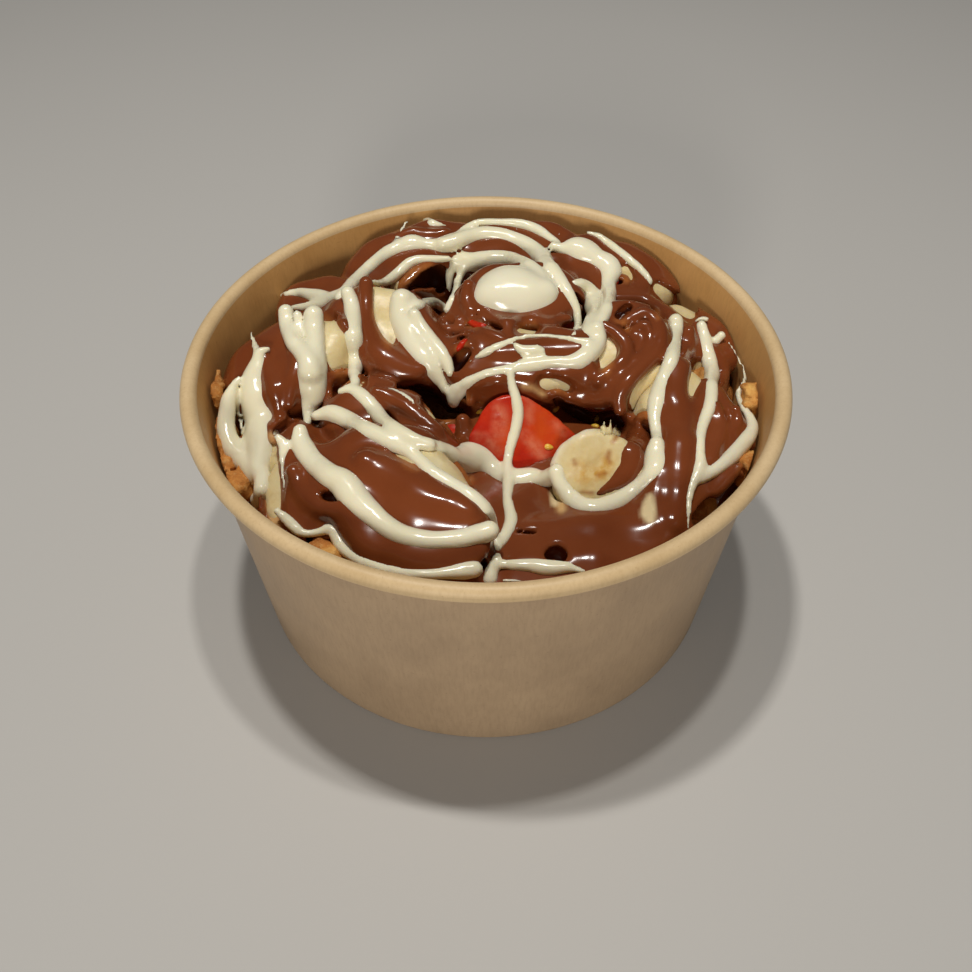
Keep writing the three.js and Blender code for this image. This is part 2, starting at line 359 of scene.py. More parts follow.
def laid_path(surface, knots, crown=None, reach=4, spacing=2.5, upright=False):
    """Centres and radii in millimetres of a strand drawn in pixels and laid on the surface.

    With a crown the strand is no higher than that, and its round section is sunk to keep its width.
    """
    samples = curve_points(knots, spacing)
    travel, rays = cast(surface, samples[:, :2])
    travel = np.full(len(travel), travel[0]) if upright else bridged(travel, reach)
    depth = travel * (rays @ VIEW_FORWARD)
    width = np.pad(samples[:, 2], len(WIDTH_SMOOTHING) // 2, mode="edge")
    width = np.convolve(width, WIDTH_SMOOTHING, mode="valid")
    radius = width / 2 * depth / FOCAL_PX
    centre = CAMERA_AT + rays * travel[:, None]
    if crown is None:
        return centre, radius
    height = crown * (1 - np.exp(-radius / crown))
    height = np.minimum(height * STRAND_FULLNESS, radius)
    round_radius = (radius ** 2 + height ** 2) / (2 * height)
    outward = surface.slope(centre, 2.5) * (1 - SEEN_TILT) - rays * SEEN_TILT
    outward /= np.linalg.norm(outward, axis=1, keepdims=True)
    return centre - outward * (round_radius - height)[:, None], round_radius


def add_tube(field, centre, radius, margin):
    """Joins a chain of round cones to a field."""
    if len(centre) == 1:
        centre = np.vstack([centre, centre + 1e-3])
        radius = np.append(radius, radius)
    for a, b, ra, rb in zip(centre, centre[1:], radius, radius[1:]):
        pad = max(ra, rb) + margin
        low, high = np.minimum(a, b) - pad, np.maximum(a, b) + pad
        along = b - a
        length = max(float(along @ along), 1e-9)

        def cone(points, a=a, along=along, length=length, ra=ra, rb=rb):
            off = points - a.astype(np.float32)
            part = np.clip(off @ along.astype(np.float32) / length, 0, 1)
            gap = off - part[..., None] * along.astype(np.float32)
            return np.sqrt((gap * gap).sum(axis=-1)) - (ra + (rb - ra) * part)
        field.join(cone, low, high, 0.0)


def tube_field(like, centre, radius, margin=3.0):
    """A field just large enough for one tube, on the grid of another."""
    pad = radius.max() + margin
    low = centre.min(axis=0) - pad
    high = centre.max(axis=0) + pad
    where = like.window(low, high)
    part = Field.__new__(Field)
    part.low = like.low + like.step * np.array([s.start for s in where])
    part.step = like.step
    part.count = np.array([s.stop - s.start for s in where])
    part.value = np.full(part.count, FAR, dtype=np.float32)
    add_tube(part, centre, radius, margin)
    return part, where


def join_strand(field, centre, radius, blend, sign=1):
    """Adds a chain of round cones to a field, or with sign -1 takes it away."""
    part, where = tube_field(field, centre, radius)
    field.value[where] = sign * smooth_min(sign * field.value[where], part.value, blend)


def pour(field, surface, knots, crown, blend, **drawn):
    """Adds a strand drawn in pixels, laid on the surface."""
    centre, radius = laid_path(surface, knots, crown, **drawn)
    join_strand(field, centre, radius, blend)


# ---------- the food the sauces lie on ----------

BOWL_INNER_FOOT = 63.1       # inside of the wall at the floor
BOWL_INNER_SLOPE = 0.1024    # how much wider it gets for each millimetre of height
WALL_GAP = 0.5               # kept free between the food and the wall

BANANA_NODES = sorted(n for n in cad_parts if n.startswith("banana_slice"))
STRAWBERRY_NODES = sorted(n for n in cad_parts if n.startswith("strawberry"))
WAFFLE_NODES = sorted(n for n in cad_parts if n.startswith("waffle_piece"))
BARE_FRUIT = ("banana_slice_facing", "strawberry_half_front")

LUMPS = {node: Lump(node, seed=i) for i, node in enumerate(BANANA_NODES)}
BERRIES = {node: Lump(node, uneven=0.25, rounding=0.45, seed=40 + i)
           for i, node in enumerate(STRAWBERRY_NODES)}

COAT = 1.5                   # thickness of the milk chocolate coat
COAT_BLEND = 4.0
SAUCE_LEVEL = 57.0           # milk chocolate standing between the pieces
FOLD_CROWN = 1.3             # height of the widest folds
BARE_DEPTH = -0.35           # how far below the fruit's skin the coat ends where it is bare
TAPER = 0.85                 # growth of the coat with the distance from a bare spot
TAPER_END = 1.2              # distance from a bare spot where the coat is soon whole again
BARE_MARGIN = 7              # how far around a bare spot the coat is looked at
BARE_DEPTHS = (7, 9)         # how far before and behind it, as seen from the camera
POOL_EDGE = 59               # radius at which the sauce between the pieces ends
POOL_SWELL = 1.6             # height of its slow waves
POOL_FILM = 0.4              # sauce over the frame's pool
FOLD_BLEND = 1.4             # how softly a fold runs into the coat
CREASE_BLEND = 0.6           # the same for ropes, hollows and bare fruit
LINING = 2.2                 # thickness of the sauce around a hollow
HOLLOW_MARGIN = 0.9          # how much wider a hollow is in the fruit than in the sauce
HOLLOW_LEAN = 0.6            # how far a hollow follows the view and not the surface's slope
HOLLOW_DEPTH = 4.0           # least depth of a hollow
HOLLOW_REACH = 3.2           # depth of a wide hollow over its half width
HOLLOW_WIDENING = 0.25       # how much wider it is at its end
FRUIT_MARGIN = 0.25          # gap between the coat and bare fruit
WALL_BLEND = 1.5
FOOD_FLOOR = 9.2             # height of the base disc's top with a small gap

# Places where the coat parts and a dark hollow shows: pixel x, pixel y, width in pixels.
HOLLOWS = {
    "behind_inner_left": [(410, 289, 6), (420, 283, 12), (431, 279, 20), (441, 276, 20), (443, 287, 14)],
    "left_of_middle": [(335, 394, 6), (336, 386, 10), (342, 381, 14), (348, 378, 10)],
    "before_crest": [(468, 350, 8), (462, 356, 14), (456, 364, 14)],
    "left_edge": [(277, 430, 9), (284, 424, 11), (290, 418, 8)],
    "between_fruit": [(396, 386, 6), (410, 388, 14), (422, 396, 22), (434, 404, 26), (446, 411, 18),
        (460, 411, 10)],
    "right_of_slice": [(644, 424, 8), (647, 432, 10), (648.5, 438, 8)],
    "front_pool": [(549, 555, 9), (556, 551, 14), (560, 555, 14)],
    "right_wall": [(738, 485, 20), (726, 500, 24), (710, 512, 24), (698, 520, 14)],
    "under_crest": [(478, 314, 8), (486, 318, 9), (494, 322, 9), (500, 327, 8)],
    "pool_crease": [(517, 530.5, 3), (527, 531.5, 4), (536, 532, 3)],
    "front_left": [(322, 497, 8), (331, 496, 12), (338, 495, 11)],
    "hook_gap": [(577, 295, 6), (583, 302, 8), (586, 309, 5)],
    "upper_right_gap": [(617, 282, 5), (621, 281, 4)],
    "upper_right_deep": [(619, 316, 8), (625, 309, 9), (629, 305, 6)],
    "under_flap": [(386, 412, 5), (393, 419, 6), (401, 424, 5)],
    "rim_arch": [(308, 541, 6), (320, 543, 8), (332, 545, 6)],
    "rim_gap": [(484, 562, 7), (486, 566, 6)],
    "over_berry": [(556, 400, 7), (566, 406, 10), (578, 413, 11), (590, 418, 12), (602, 418, 12),
        (613, 416, 12), (620, 424, 8)],
}

# Fruit showing through the coat.
BARE_SPOTS = {
    "inner_left_side": [(380, 290, 12), (382, 300, 19), (384, 312, 23), (386, 324, 22), (388, 336, 14),
        (389, 345, 5)],
    "left_column": [(327, 318, 8), (330, 328, 14), (334, 340, 20), (338, 352, 24), (343, 364, 24),
        (349, 374, 18), (358, 381, 10)],
    "back_left_side": [(394, 287, 6), (402, 283, 12), (412, 275, 14), (422, 269, 10), (429, 266, 6)],
    "front_top": [(430, 452, 14), (440, 461, 20), (450, 468, 22), (460, 474, 18), (468, 480, 10)],
    "front_top_left": [(399, 452, 8), (405, 458, 12), (411, 464, 10), (416, 468, 6)],
    "front_top_middle": [(424, 454, 12), (432, 460, 13)],
    "inner_right": [(609, 342, 9), (608, 352, 14), (607, 362, 12), (606, 371, 8)],
    "inner_right_triangle": [(618, 320, 6), (624, 323, 8), (628, 329, 4)],
    "inner_right_small": [(657, 313, 5), (658, 317, 3)],
    "right_upper": [(657, 370, 10), (651, 380, 16), (645, 391, 20), (642, 402, 21), (645, 411, 18)],
    "right_lower": [(700, 366, 7), (696, 376, 9), (692, 386, 7), (690, 394, 4)],
    "right_back_side": [(657, 288, 6), (664, 294, 9), (674, 302, 9), (684, 309, 10), (690, 314, 8)],
    "right_back_piece": [(625, 271, 7), (627, 278, 9)],
    "crest_side": [(522, 328, 8), (532, 327, 10)],
    "centre_hem": [(544, 383, 7), (555, 386, 11), (565, 390, 9)],
    "centre_end": [(463, 397, 12), (458, 402, 10)],
    "middle_tuft": [(444, 416, 8), (449, 423, 10), (452, 430, 5)],
    "left_film": [(271, 440, 7), (271, 455, 9), (272, 475, 11), (273, 495, 12), (274, 512, 10)],
    "left_gap": [(238, 425, 6), (241, 433, 6)],
    "berry_back": [(470, 324, 6), (476, 325, 7)],
    "berry_back_low": [(464, 344, 7), (460, 350, 9)],
    "berry_left": [(430, 404, 10), (436, 411, 12)],
    "waffle_left": [(219, 384, 12), (217, 394, 14), (219, 404, 12)],
    "waffle_left_low": [(220, 440, 12), (226, 454, 18), (234, 468, 20), (243, 482, 16)],
    "waffle_right": [(747, 392, 11), (750, 402, 12), (751, 410, 9)],
    "waffle_right_low": [(746, 458, 12), (745, 468, 11), (743, 478, 9)],
}

# Ridges and folds of milk chocolate.
FOLDS = {
    "inner_left_strand": [(366, 282, 14), (366, 296, 15), (367, 311, 14), (369, 326, 17), (375, 342, 24),
        (385, 355, 30), (398, 366, 30), (411, 372, 24), (421, 370, 14)],
    "back_left_cap": [(398, 236, 7), (411, 231, 9), (430, 233, 9), (446, 231, 7)],
    "front_lobe": [(366, 460, 24), (384, 472, 32), (406, 486, 36), (430, 497, 34), (452, 505, 28),
        (468, 511, 18)],
    "front_left_fold": [(292, 470, 14), (300, 490, 16), (316, 506, 16), (334, 512, 12)],
    "mid_left_flap": [(376, 391, 11), (392, 398, 18), (408, 408, 20), (424, 420, 18), (440, 431, 12)],
    "centre_hem_left": [(470, 402, 10), (472, 388, 12), (484, 382, 12), (500, 380, 10)],
    "centre_hem_right": [(574, 398, 14), (586, 402, 16), (600, 402, 16), (612, 398, 14)],
    "inner_right_loop_1": [(604, 326, 13), (616, 333, 14), (626, 345, 15), (624, 358, 15), (612, 370, 15),
        (598, 380, 14)],
    "inner_right_loop_2": [(632, 318, 12), (645, 313, 14), (657, 322, 15), (661, 338, 16), (655, 354, 16),
        (643, 367, 16), (630, 380, 16), (620, 396, 16), (620, 410, 14)],
    "inner_right_loop_3": [(634, 330, 10), (645, 325, 11), (650, 338, 11), (645, 352, 11), (634, 362, 10)],
    "inner_right_back": [(612, 298, 12), (632, 298, 12), (652, 302, 12), (668, 312, 13), (680, 326, 14)],
    "right_column": [(690, 330, 12), (688, 350, 14), (682, 370, 17), (678, 390, 22), (679, 410, 26),
        (680, 440, 26), (680, 470, 24), (678, 500, 22), (674, 522, 18)],
    "right_outer": [(714, 350, 10), (722, 362, 14), (724, 380, 14), (720, 396, 12)],
    "right_far": [(730, 352, 10), (736, 368, 12), (734, 382, 10)],
    "right_low": [(716, 405, 10), (722, 425, 12), (716, 448, 12), (712, 460, 8)],
    "right_low_far": [(736, 408, 8), (738, 420, 10), (732, 434, 10)],
    "right_floor": [(740, 466, 8), (728, 480, 14), (716, 492, 12)],
    "centre_lens": [(496, 353, 12), (514, 352, 20), (536, 351, 25), (560, 350, 24), (580, 348, 14)],
    "crest_skirt": [(482, 318, 10), (500, 322, 11), (525, 323, 12), (550, 323, 12), (568, 318, 10)],
    "crest_left": [(468, 284, 12), (466, 298, 12), (470, 310, 10)],
    "gap_bridge": [(446, 328, 10), (460, 331, 10), (476, 331, 10), (490, 334, 11), (503, 340, 10)],
    "left_lump_fold": [(262, 350, 12), (268, 372, 15), (276, 396, 14), (280, 414, 11)],
    "left_back_fold": [(292, 340, 10), (296, 360, 12), (292, 384, 12), (290, 404, 10)],
}
# Folds that stand up like ropes, with a crisp crease beside them.
ROPES = ("inner_right_loop_1", "inner_right_loop_2", "inner_right_loop_3", "inner_left_strand",
         "mid_left_flap", "gap_bridge")
ROPE_CROWN = 2.1
SMALL_DROP_CROWN = 2.0
SLICE_COAT_CROWN = 1.0

SMALL_DROPS = {
    "middle": [(462, 420, 15), (462, 432, 17)],
    "crest_left": [(458, 321, 9), (462, 325, 8)],
    "crest_low": [(470, 344, 9), (474, 348, 8)],
}

# Milk chocolate lying on the cut face of the facing banana slice.
SLICE_COAT = [(629, 431, 14), (632, 440, 19), (633, 450, 22), (632, 461, 23), (628, 471, 22),
    (620, 480, 17), (609, 487.5, 11), (597, 493, 5)]


def fruit_field():
    """Everything solid that the sauces lie on."""
    field = Field()
    for shape in list(LUMPS.values()) + list(BERRIES.values()):
        field.join(shape, shape.low - 6, shape.high + 6, 0.0)
    return field


def wall_distance(points):
    """Distance outside the room inside the bowl, less a little clearance."""
    radius = np.hypot(points[..., 0], points[..., 1])
    return radius - (BOWL_INNER_FOOT - WALL_GAP + BOWL_INNER_SLOPE * points[..., 2])


def milk_chocolate_field():
    """The coat over the fruit and the sauce between the pieces."""
    field = Field()
    for node, shape in LUMPS.items():
        if node not in BARE_FRUIT:
            field.join(grown(shape, COAT), shape.low - 8, shape.high + 8, COAT_BLEND)
    pool = Lump("chocolate_pool_front", rounding=1.2, uneven=0.8, seed=30)
    field.join(grown(pool, POOL_FILM), pool.low - 8, pool.high + 8, COAT_BLEND)

    def level(points):
        x, y, z = points[..., 0], points[..., 1], points[..., 2]
        swell = POOL_SWELL * np.sin(x * 0.13 + 0.6) * np.cos(y * 0.15)
        swell = swell + POOL_SWELL / 2 * np.sin((x - y) * 0.21)
        rim = np.hypot(x, y + 2) - POOL_EDGE
        return np.maximum(z - SAUCE_LEVEL - swell, rim)
    field.join(level, GRID_LOW, (*GRID_HIGH[:2], SAUCE_LEVEL + 8), COAT_BLEND)
    return field


def add_folds(field, fruit):
    """Ridges, folds and drops of milk chocolate, over the coat and over bare fruit."""
    surface = field.copy()
    surface.value = np.minimum(field.value, fruit.value)
    for name, knots in FOLDS.items():
        crown, blend = (ROPE_CROWN, CREASE_BLEND) if name in ROPES else (FOLD_CROWN, FOLD_BLEND)
        pour(field, surface, knots, crown, blend)
    for knots in SMALL_DROPS.values():
        pour(field, surface, knots, SMALL_DROP_CROWN, 1.0)


def hollow_tubes(surface):
    """Chains of spheres that lead from each traced hollow down into the food."""
    tubes = []
    for knots in HOLLOWS.values():
        centre, radius = laid_path(surface, knots, reach=1)
        way = pixel_rays(np.array(knots)[:1, :2])[0]
        way = way * HOLLOW_LEAN - surface.slope(centre, 3.0).mean(axis=0) * (1 - HOLLOW_LEAN)
        way = way / np.linalg.norm(way)
        depth = max(HOLLOW_DEPTH, HOLLOW_REACH * radius.max())
        for sink in np.arange(0, depth, max(0.8, radius.max() * 0.7)):
            tubes.append((centre + way * sink, radius * (1 + HOLLOW_WIDENING * sink / depth)))
    return tubes


def seen_gap(points, knots):
    """How far outside a shape drawn in pixels points are seen, in millimetres, and their depth."""
    px, py, depth = to_pixels(points)
    samples = curve_points(knots, 3.0)
    gap = np.full(px.shape, FAR * 9, dtype=np.float32)
    for (xa, ya, wa), (xb, yb, wb) in zip(samples, samples[1:]):
        dx, dy = xb - xa, yb - ya
        part = np.clip(((px - xa) * dx + (py - ya) * dy) / max(dx * dx + dy * dy, 1e-6), 0, 1)
        away = np.hypot(px - xa - part * dx, py - ya - part * dy) - (wa + (wb - wa) * part) / 2
        gap = np.minimum(gap, away)
    return gap * depth / FOCAL_PX, depth


def bare(field, surface, fruit, knots):
    """Thins the coat to nothing over a spot drawn in pixels."""
    centre, radius = laid_path(surface, knots, reach=1)
    margin = radius.max() + BARE_MARGIN
    where = field.window(centre.min(axis=0) - margin, centre.max(axis=0) + margin)
    gap, depth = seen_gap(field.points(where), knots)
    middle = (centre - CAMERA_AT) @ VIEW_FORWARD
    before, behind = BARE_DEPTHS
    reached = (depth > middle.min() - before) & (depth < middle.max() + behind)
    left = BARE_DEPTH + TAPER * gap + 4 * np.maximum(gap - TAPER_END, 0) ** 2
    thinned = -smooth_min(-field.value[where], left - fruit.value[where], 0.5)
    field.value[where] = np.where(reached, thinned, field.value[where])


def open_coat(field, fruit, tubes):
    """Parts the coat over bare fruit and hollows, and keeps it off the wall."""
    surface = field.copy()
    for knots in BARE_SPOTS.values():
        bare(field, surface, fruit, knots)
    for centre, radius in tubes:
        lined, where = tube_field(field, centre, radius + LINING)
        inside = np.maximum(lined.value, surface.value[where])
        field.value[where] = np.minimum(field.value[where], inside)
    for centre, radius in tubes:
        join_strand(field, centre, radius, CREASE_BLEND, -1)
    for shape in (LUMPS["banana_slice_facing"], BERRIES["strawberry_half_front"]):
        field.join(grown(shape, FRUIT_MARGIN), shape.low - 4, shape.high + 4, CREASE_BLEND, -1)
    add_folds(field, fruit)
    pour(field, fruit, SLICE_COAT, SLICE_COAT_CROWN, 1.0)
    everywhere = field.everywhere()
    field.value = -smooth_min(-field.value, -wall_distance(everywhere), WALL_BLEND)
    field.value = np.maximum(field.value, GRID_LOW[2] + 3 - everywhere[..., 2])


# ---------- white chocolate strands ----------

WHITE_STRANDS = {
    "left_arch": [(270, 308, 2.5), (274, 302, 4), (280, 297.5, 5), (287, 294, 7), (295, 292.5, 9),
        (303, 293, 11), (312, 295, 15), (320, 297, 18), (328, 299, 17), (336, 296, 14)],
    "left_arch_low": [(293, 308, 6), (303, 307, 9), (313, 306, 12), (322, 304, 13)],
    "left_a": [(284.5, 310, 15), (286, 322, 16), (289, 333, 16), (295, 343, 17), (302, 352, 18),
        (308, 362, 20), (310, 372, 22)],
    "left_b": [(297, 314, 9), (298, 326, 9), (300, 338, 9)],
    "left_c": [(313.5, 313, 19), (314, 325, 19), (315, 338, 19), (315, 350, 20), (313, 362, 26),
        (312, 374, 29), (312.5, 386, 28), (313, 396, 24), (310, 406, 17), (308, 416, 11), (307, 424, 7)],
    "left_d": [(347, 292, 14), (351, 303, 16), (353, 318, 18), (354, 333, 18.5), (354.5, 350, 18),
        (355, 366, 15.5), (355, 380, 11), (355, 388, 9)],
    "left_e": [(251.5, 333, 3), (253.5, 341, 5), (256, 349, 8), (257.5, 358, 13), (254.5, 369, 21),
        (252.5, 380, 25), (253, 392, 26), (254.5, 405, 28), (256.5, 420, 29), (258, 435, 28),
        (259.5, 450, 25), (259.5, 463, 21), (259.5, 478, 17), (258.5, 495, 15.5), (257.5, 512, 15),
        (257, 524, 14)],
    "left_e_lobe": [(259, 352, 9), (264, 350, 8), (268, 349, 5)],
    "left_f": [(238, 379, 6), (233, 387, 9), (229.5, 396, 14), (227, 406, 16), (226, 418, 17),
        (226.5, 429, 18), (229.5, 440, 19), (235, 450, 21), (243, 459, 22), (250, 468, 20), (255, 478, 15)],
    "left_f_thin": [(238, 392, 7), (238, 402, 6), (238.5, 412, 5), (241, 424, 4.5), (244, 436, 4.5),
        (248, 446, 6)],
    "left_g": [(278, 437, 7), (283.5, 445, 13), (283, 455, 9), (282.5, 466, 5.5), (283.5, 478, 5),
        (284.5, 488, 5)],
    "front_left_band": [(300, 430, 14), (300, 439, 19), (304, 449, 22), (311, 459, 22), (319, 467, 22.5),
        (329, 475, 24), (340, 481, 26), (348, 489, 29), (356, 498, 28), (364, 506.5, 26), (372, 514, 24.5),
        (382, 523, 23), (396, 532, 22), (411, 537, 21.5), (429, 540, 21), (441, 540, 20), (453, 539, 20),
        (465, 537.5, 20), (476, 534.5, 20.5), (486, 532, 21), (491, 530, 20)],
    "front_band": [(314, 416, 9), (321, 414, 12), (329, 412.5, 17), (338, 415, 18), (348, 419.5, 18),
        (358, 424.5, 18), (368, 429.5, 18.5), (378, 434.5, 18), (388, 439.5, 19), (397, 444.5, 19),
        (406, 449, 16), (415, 456, 14), (424, 464, 15), (432, 472, 17), (441, 477.5, 17), (450, 483, 17),
        (459, 488, 17), (468, 493.5, 17.5), (477, 500.5, 18), (484, 507.5, 18), (489, 515, 17),
        (492, 523, 14), (494, 532, 11), (495.5, 541, 9), (496, 548, 6)],
    "front_band_upper": [(340, 391.5, 6), (346, 389, 10), (353, 389.5, 12.5), (360, 393.5, 14.5),
        (367, 400, 15), (373, 407, 15.5), (379, 414.5, 15.5), (386, 421, 15), (394, 427.5, 16),
        (403, 433, 15), (413, 438.5, 14), (422, 442, 13), (430, 444.5, 13.5)],
    "flap_edge": [(384, 386.5, 2), (394, 389.5, 4), (404, 395, 5), (413, 402, 4.5), (420, 410, 2)],
    "berry_band": [(428, 444, 13), (437, 447, 17), (447, 451.5, 19), (456, 457, 21), (465, 458.5, 27),
        (474, 458, 32), (483, 462, 26), (492, 468, 21), (502, 474, 23), (512, 477.5, 26), (522, 477.5, 25),
        (532, 476, 21), (542, 478, 17), (551, 475, 18), (557, 472, 16)],
    "slice_ring": [(555, 472, 12), (558, 481, 15), (563, 489, 17), (569, 496.5, 18.5), (577, 502.5, 20),
        (587, 506, 20.5), (598, 506.5, 20.5), (609, 503.5, 20.5), (620.5, 499, 20), (630, 493.5, 19),
        (639, 486.5, 18), (647, 478, 20), (652, 470, 23), (654.5, 461, 24), (655, 451, 21), (656, 443, 15)],
    "right_m": [(676.5, 320, 15), (676, 327, 16), (675.5, 337, 16), (674, 349, 16), (670.5, 361, 15.5),
        (666, 371, 16), (662, 381, 17), (659, 391, 19), (656.5, 401, 20), (655, 410, 18), (654, 418, 14),
        (655, 426, 13), (656.5, 434, 13), (658, 443, 14)],
    "right_n_stub": [(698, 320.5, 6), (702, 319.5, 7), (706, 319, 6)],
    "right_n": [(702, 325, 10), (704, 333, 12), (706, 343, 13.5), (708.5, 355, 15), (710.5, 368, 15),
        (711.2, 380, 14.5), (711.5, 391, 14), (711, 401, 14), (708, 411, 13), (704.5, 420, 12.5),
        (702, 428, 12), (700.5, 436, 12), (700, 447, 11.5), (700, 455, 11.5), (700.5, 463, 14),
        (698.5, 471, 14), (694.5, 480, 12), (691.5, 488, 9.5), (689.5, 496, 8.5), (688.5, 505, 7.5),
        (688.3, 515, 6), (687.7, 524, 4.5), (687, 532, 3)],
    "right_o": [(715, 341.5, 9), (721.5, 335, 9)],
    "right_p": [(729, 342, 3), (733, 349, 3.5), (737.5, 357, 3), (741, 364, 3.5), (744, 373, 4),
        (744.5, 380, 4.5), (741.5, 387, 5.5), (738, 393, 7), (739, 399, 6.5), (742, 406, 6.5),
        (747, 413, 8.5), (751.5, 420, 10.5), (753, 427, 13), (750.5, 434, 15.5), (745, 442, 16.5),
        (737.5, 450.5, 16.5), (729, 459, 16), (720.5, 466, 14.5), (712.5, 472, 13), (705, 477, 11),
        (699, 481, 9)],
    "crest_ring_1": [(458, 263, 13), (466, 262, 17), (475, 262, 19), (486, 259.5, 18), (497, 258, 17),
        (508, 258, 15.5), (518, 260, 14.5), (527, 264, 14), (535, 270, 14.5), (542, 278, 16),
        (547, 287, 14), (549, 296, 10)],
    "crest_ring_2": [(443, 244, 14), (452, 243, 15), (460, 239.5, 14), (470, 235.5, 15), (480, 233, 16),
        (492, 233, 16), (504, 235, 16), (515, 238.5, 16), (525, 243, 16.5), (535, 250, 17),
        (545, 259.5, 17), (553, 270, 17), (561, 281, 15), (568, 292, 13), (574, 303, 11), (577.5, 314, 9),
        (577.5, 325, 8), (574, 335, 6.5)],
    "crest_ring_3": [(453, 238, 7), (460, 233, 8), (467, 227.5, 8), (475, 223.5, 8), (486, 222, 8),
        (500, 222.5, 8.5), (515, 223, 10), (528, 225.5, 11), (540, 231, 11), (550, 238, 9), (557, 243, 8)],
    "upper_right_blob": [(553, 246, 9), (561, 248.5, 11), (568, 248, 17), (575, 247, 23), (583, 250, 30),
        (591, 254, 25), (598, 259, 22), (606, 262.5, 23), (611, 268, 24), (610, 276, 18), (608.5, 284, 15),
        (609, 293, 15), (607, 303, 15), (604.5, 313, 14), (600, 322, 13)],
    "upper_right_outline": [(557, 237, 3), (561, 232, 3), (567, 228, 3), (573, 226.5, 3), (580, 228, 3)],
    "upper_right_back": [(588, 232.5, 3.5), (594, 234.5, 6), (601, 237.5, 7.5), (608, 243, 9),
        (616, 249, 9.5), (624, 255, 9), (633, 262.5, 8.5), (641, 269.5, 8), (647, 277, 8), (650, 282, 7)],
    "hook": [(574, 284, 8), (581, 283.5, 12), (588, 288, 15), (593, 296, 16), (595, 305, 17),
        (594, 314, 18), (592, 323, 20), (591, 332, 20)],
    "centre_thin": [(470, 361, 2), (477, 357, 5), (486, 352, 9), (495, 348, 9.5), (505, 343.5, 8),
        (516, 339, 6), (528, 336.5, 5), (542, 336, 5), (555, 336.7, 5), (567, 338.5, 7), (578, 341, 8),
        (588, 342, 9)],
    "centre_band": [(597, 328, 14), (599, 336, 16), (598, 344, 18), (591, 352, 19), (580, 360, 20),
        (569, 362.5, 15), (557, 362, 13), (545, 363, 14), (533, 365, 16), (522, 366.5, 15),
        (511, 368.5, 10), (499, 371, 10.5), (487, 373.5, 10), (475, 378.5, 10), (464, 385, 14),
        (457, 392, 19), (453, 398, 17), (453, 402, 10)],
    "centre_smear": [(516, 346, 6), (522, 350, 12), (530, 351, 13), (538, 349, 10), (542, 351, 7)],
    "berry_strand": [(510.5, 372, 9), (511, 380, 9), (513, 389, 10), (516, 398, 11.5), (518, 408, 12),
        (518, 417, 12), (516, 427, 12), (513.5, 436, 12), (510.5, 446, 11), (508.5, 456, 10),
        (507.5, 466, 10), (508, 478, 12), (508, 487, 12), (507.5, 495, 10), (508, 503, 11), (510, 512, 13),
        (511, 520, 14), (509, 528, 14), (505, 536, 13), (500.5, 543, 11), (497, 549, 7)],
    "inner_left_w1": [(401, 299, 21), (399, 308, 21), (402, 320, 24), (407, 331, 25), (413, 341, 24),
        (420, 351, 22), (428, 361, 20), (435, 372, 18), (441, 382, 14), (444, 390, 8)],
    "inner_left_w2": [(414, 314, 13), (420, 325, 14), (428, 336, 15), (436, 346, 15), (443, 356, 15),
        (448, 365, 12.5), (450, 373, 8)],
    "inner_left_arch": [(411, 309, 12), (418, 306, 14), (425, 303.5, 12.5), (433, 302.5, 10),
        (440, 305.5, 10), (446, 310, 9)],
    "inner_left_blob": [(399, 299, 15), (405, 297, 14), (411, 298, 10)],
    "crest_left_x": [(447, 309, 9), (451, 302, 9), (455, 293, 8.5), (457.5, 283, 8), (461, 275, 8),
        (464, 268, 9)],
    "crest_left_y": [(449.5, 290, 5), (449, 282, 7.5), (449.5, 274, 9), (452, 267, 9.5), (457, 261, 10),
        (463, 257, 11)],
    "back_left_z1": [(340, 297, 12), (345, 291, 13), (351, 284, 13), (363.5, 272, 13), (377, 260, 13.5),
        (388.5, 251.5, 14.5), (399.5, 246.5, 15), (410.5, 242.5, 19), (420.5, 243.5, 15),
        (430.5, 244.5, 12.5), (440.5, 245.5, 18), (450.5, 242, 19), (459, 240, 14)],
    "back_left_z2": [(373, 282, 5), (380, 283, 7), (387, 281, 10), (394, 276.5, 11), (401, 270.5, 11.5),
        (408, 264, 11.5), (416, 260, 10.5), (428, 259, 9), (440, 259, 7.5), (449, 259, 6)],
    "back_left_cap": [(408, 223, 4), (412, 220, 8), (418, 219.5, 10.5), (425, 221.5, 12), (432, 223.5, 10),
        (440, 225, 5.5), (447, 226, 2)],
    "back_left_film": [(394, 242, 3), (400, 232, 3.5), (407, 221, 3.5)],
    "front_rim_a": [(277, 511, 7), (284, 517, 10.5), (291, 524, 12), (299, 531, 11.5), (308, 534, 8),
        (317, 532.5, 8.5), (325, 530, 10), (331, 528, 11), (335, 535, 14), (340, 544, 15), (348, 552, 15),
        (358, 559, 14), (370, 564.5, 12.5), (384, 569, 12), (400, 572, 11), (416, 574, 11),
        (432, 574.5, 12), (445, 573, 13), (456, 572, 16), (467, 571, 18), (475, 570, 17)],
    "front_rim_b": [(499, 564.5, 9), (509, 564.5, 11), (521, 565, 13), (533, 565.5, 15), (544, 567, 17),
        (554, 567.5, 16), (562, 567, 14), (566, 567, 10)],
    "front_rim_c": [(503, 580.5, 5), (515, 580.5, 4), (528, 581, 3.5), (540, 580, 3)],
    "front_rim_d": [(569, 567, 8), (577, 569.5, 7), (585, 572, 5)],
    "front_rim_post": [(497, 556, 8), (494, 564, 10), (491, 573, 15), (490, 579, 16)],
}

# Strands that hang free over wide gaps: half the length of gap they cross, in samples.
SPANS = {"left_f": 16, "right_p": 10, "front_rim_a": 6}

# Strands that lie across others.
CROSSING = ("left_a", "left_e", "front_band_upper", "berry_strand", "inner_left_w1", "crest_ring_2",
            "crest_left_x", "right_n")

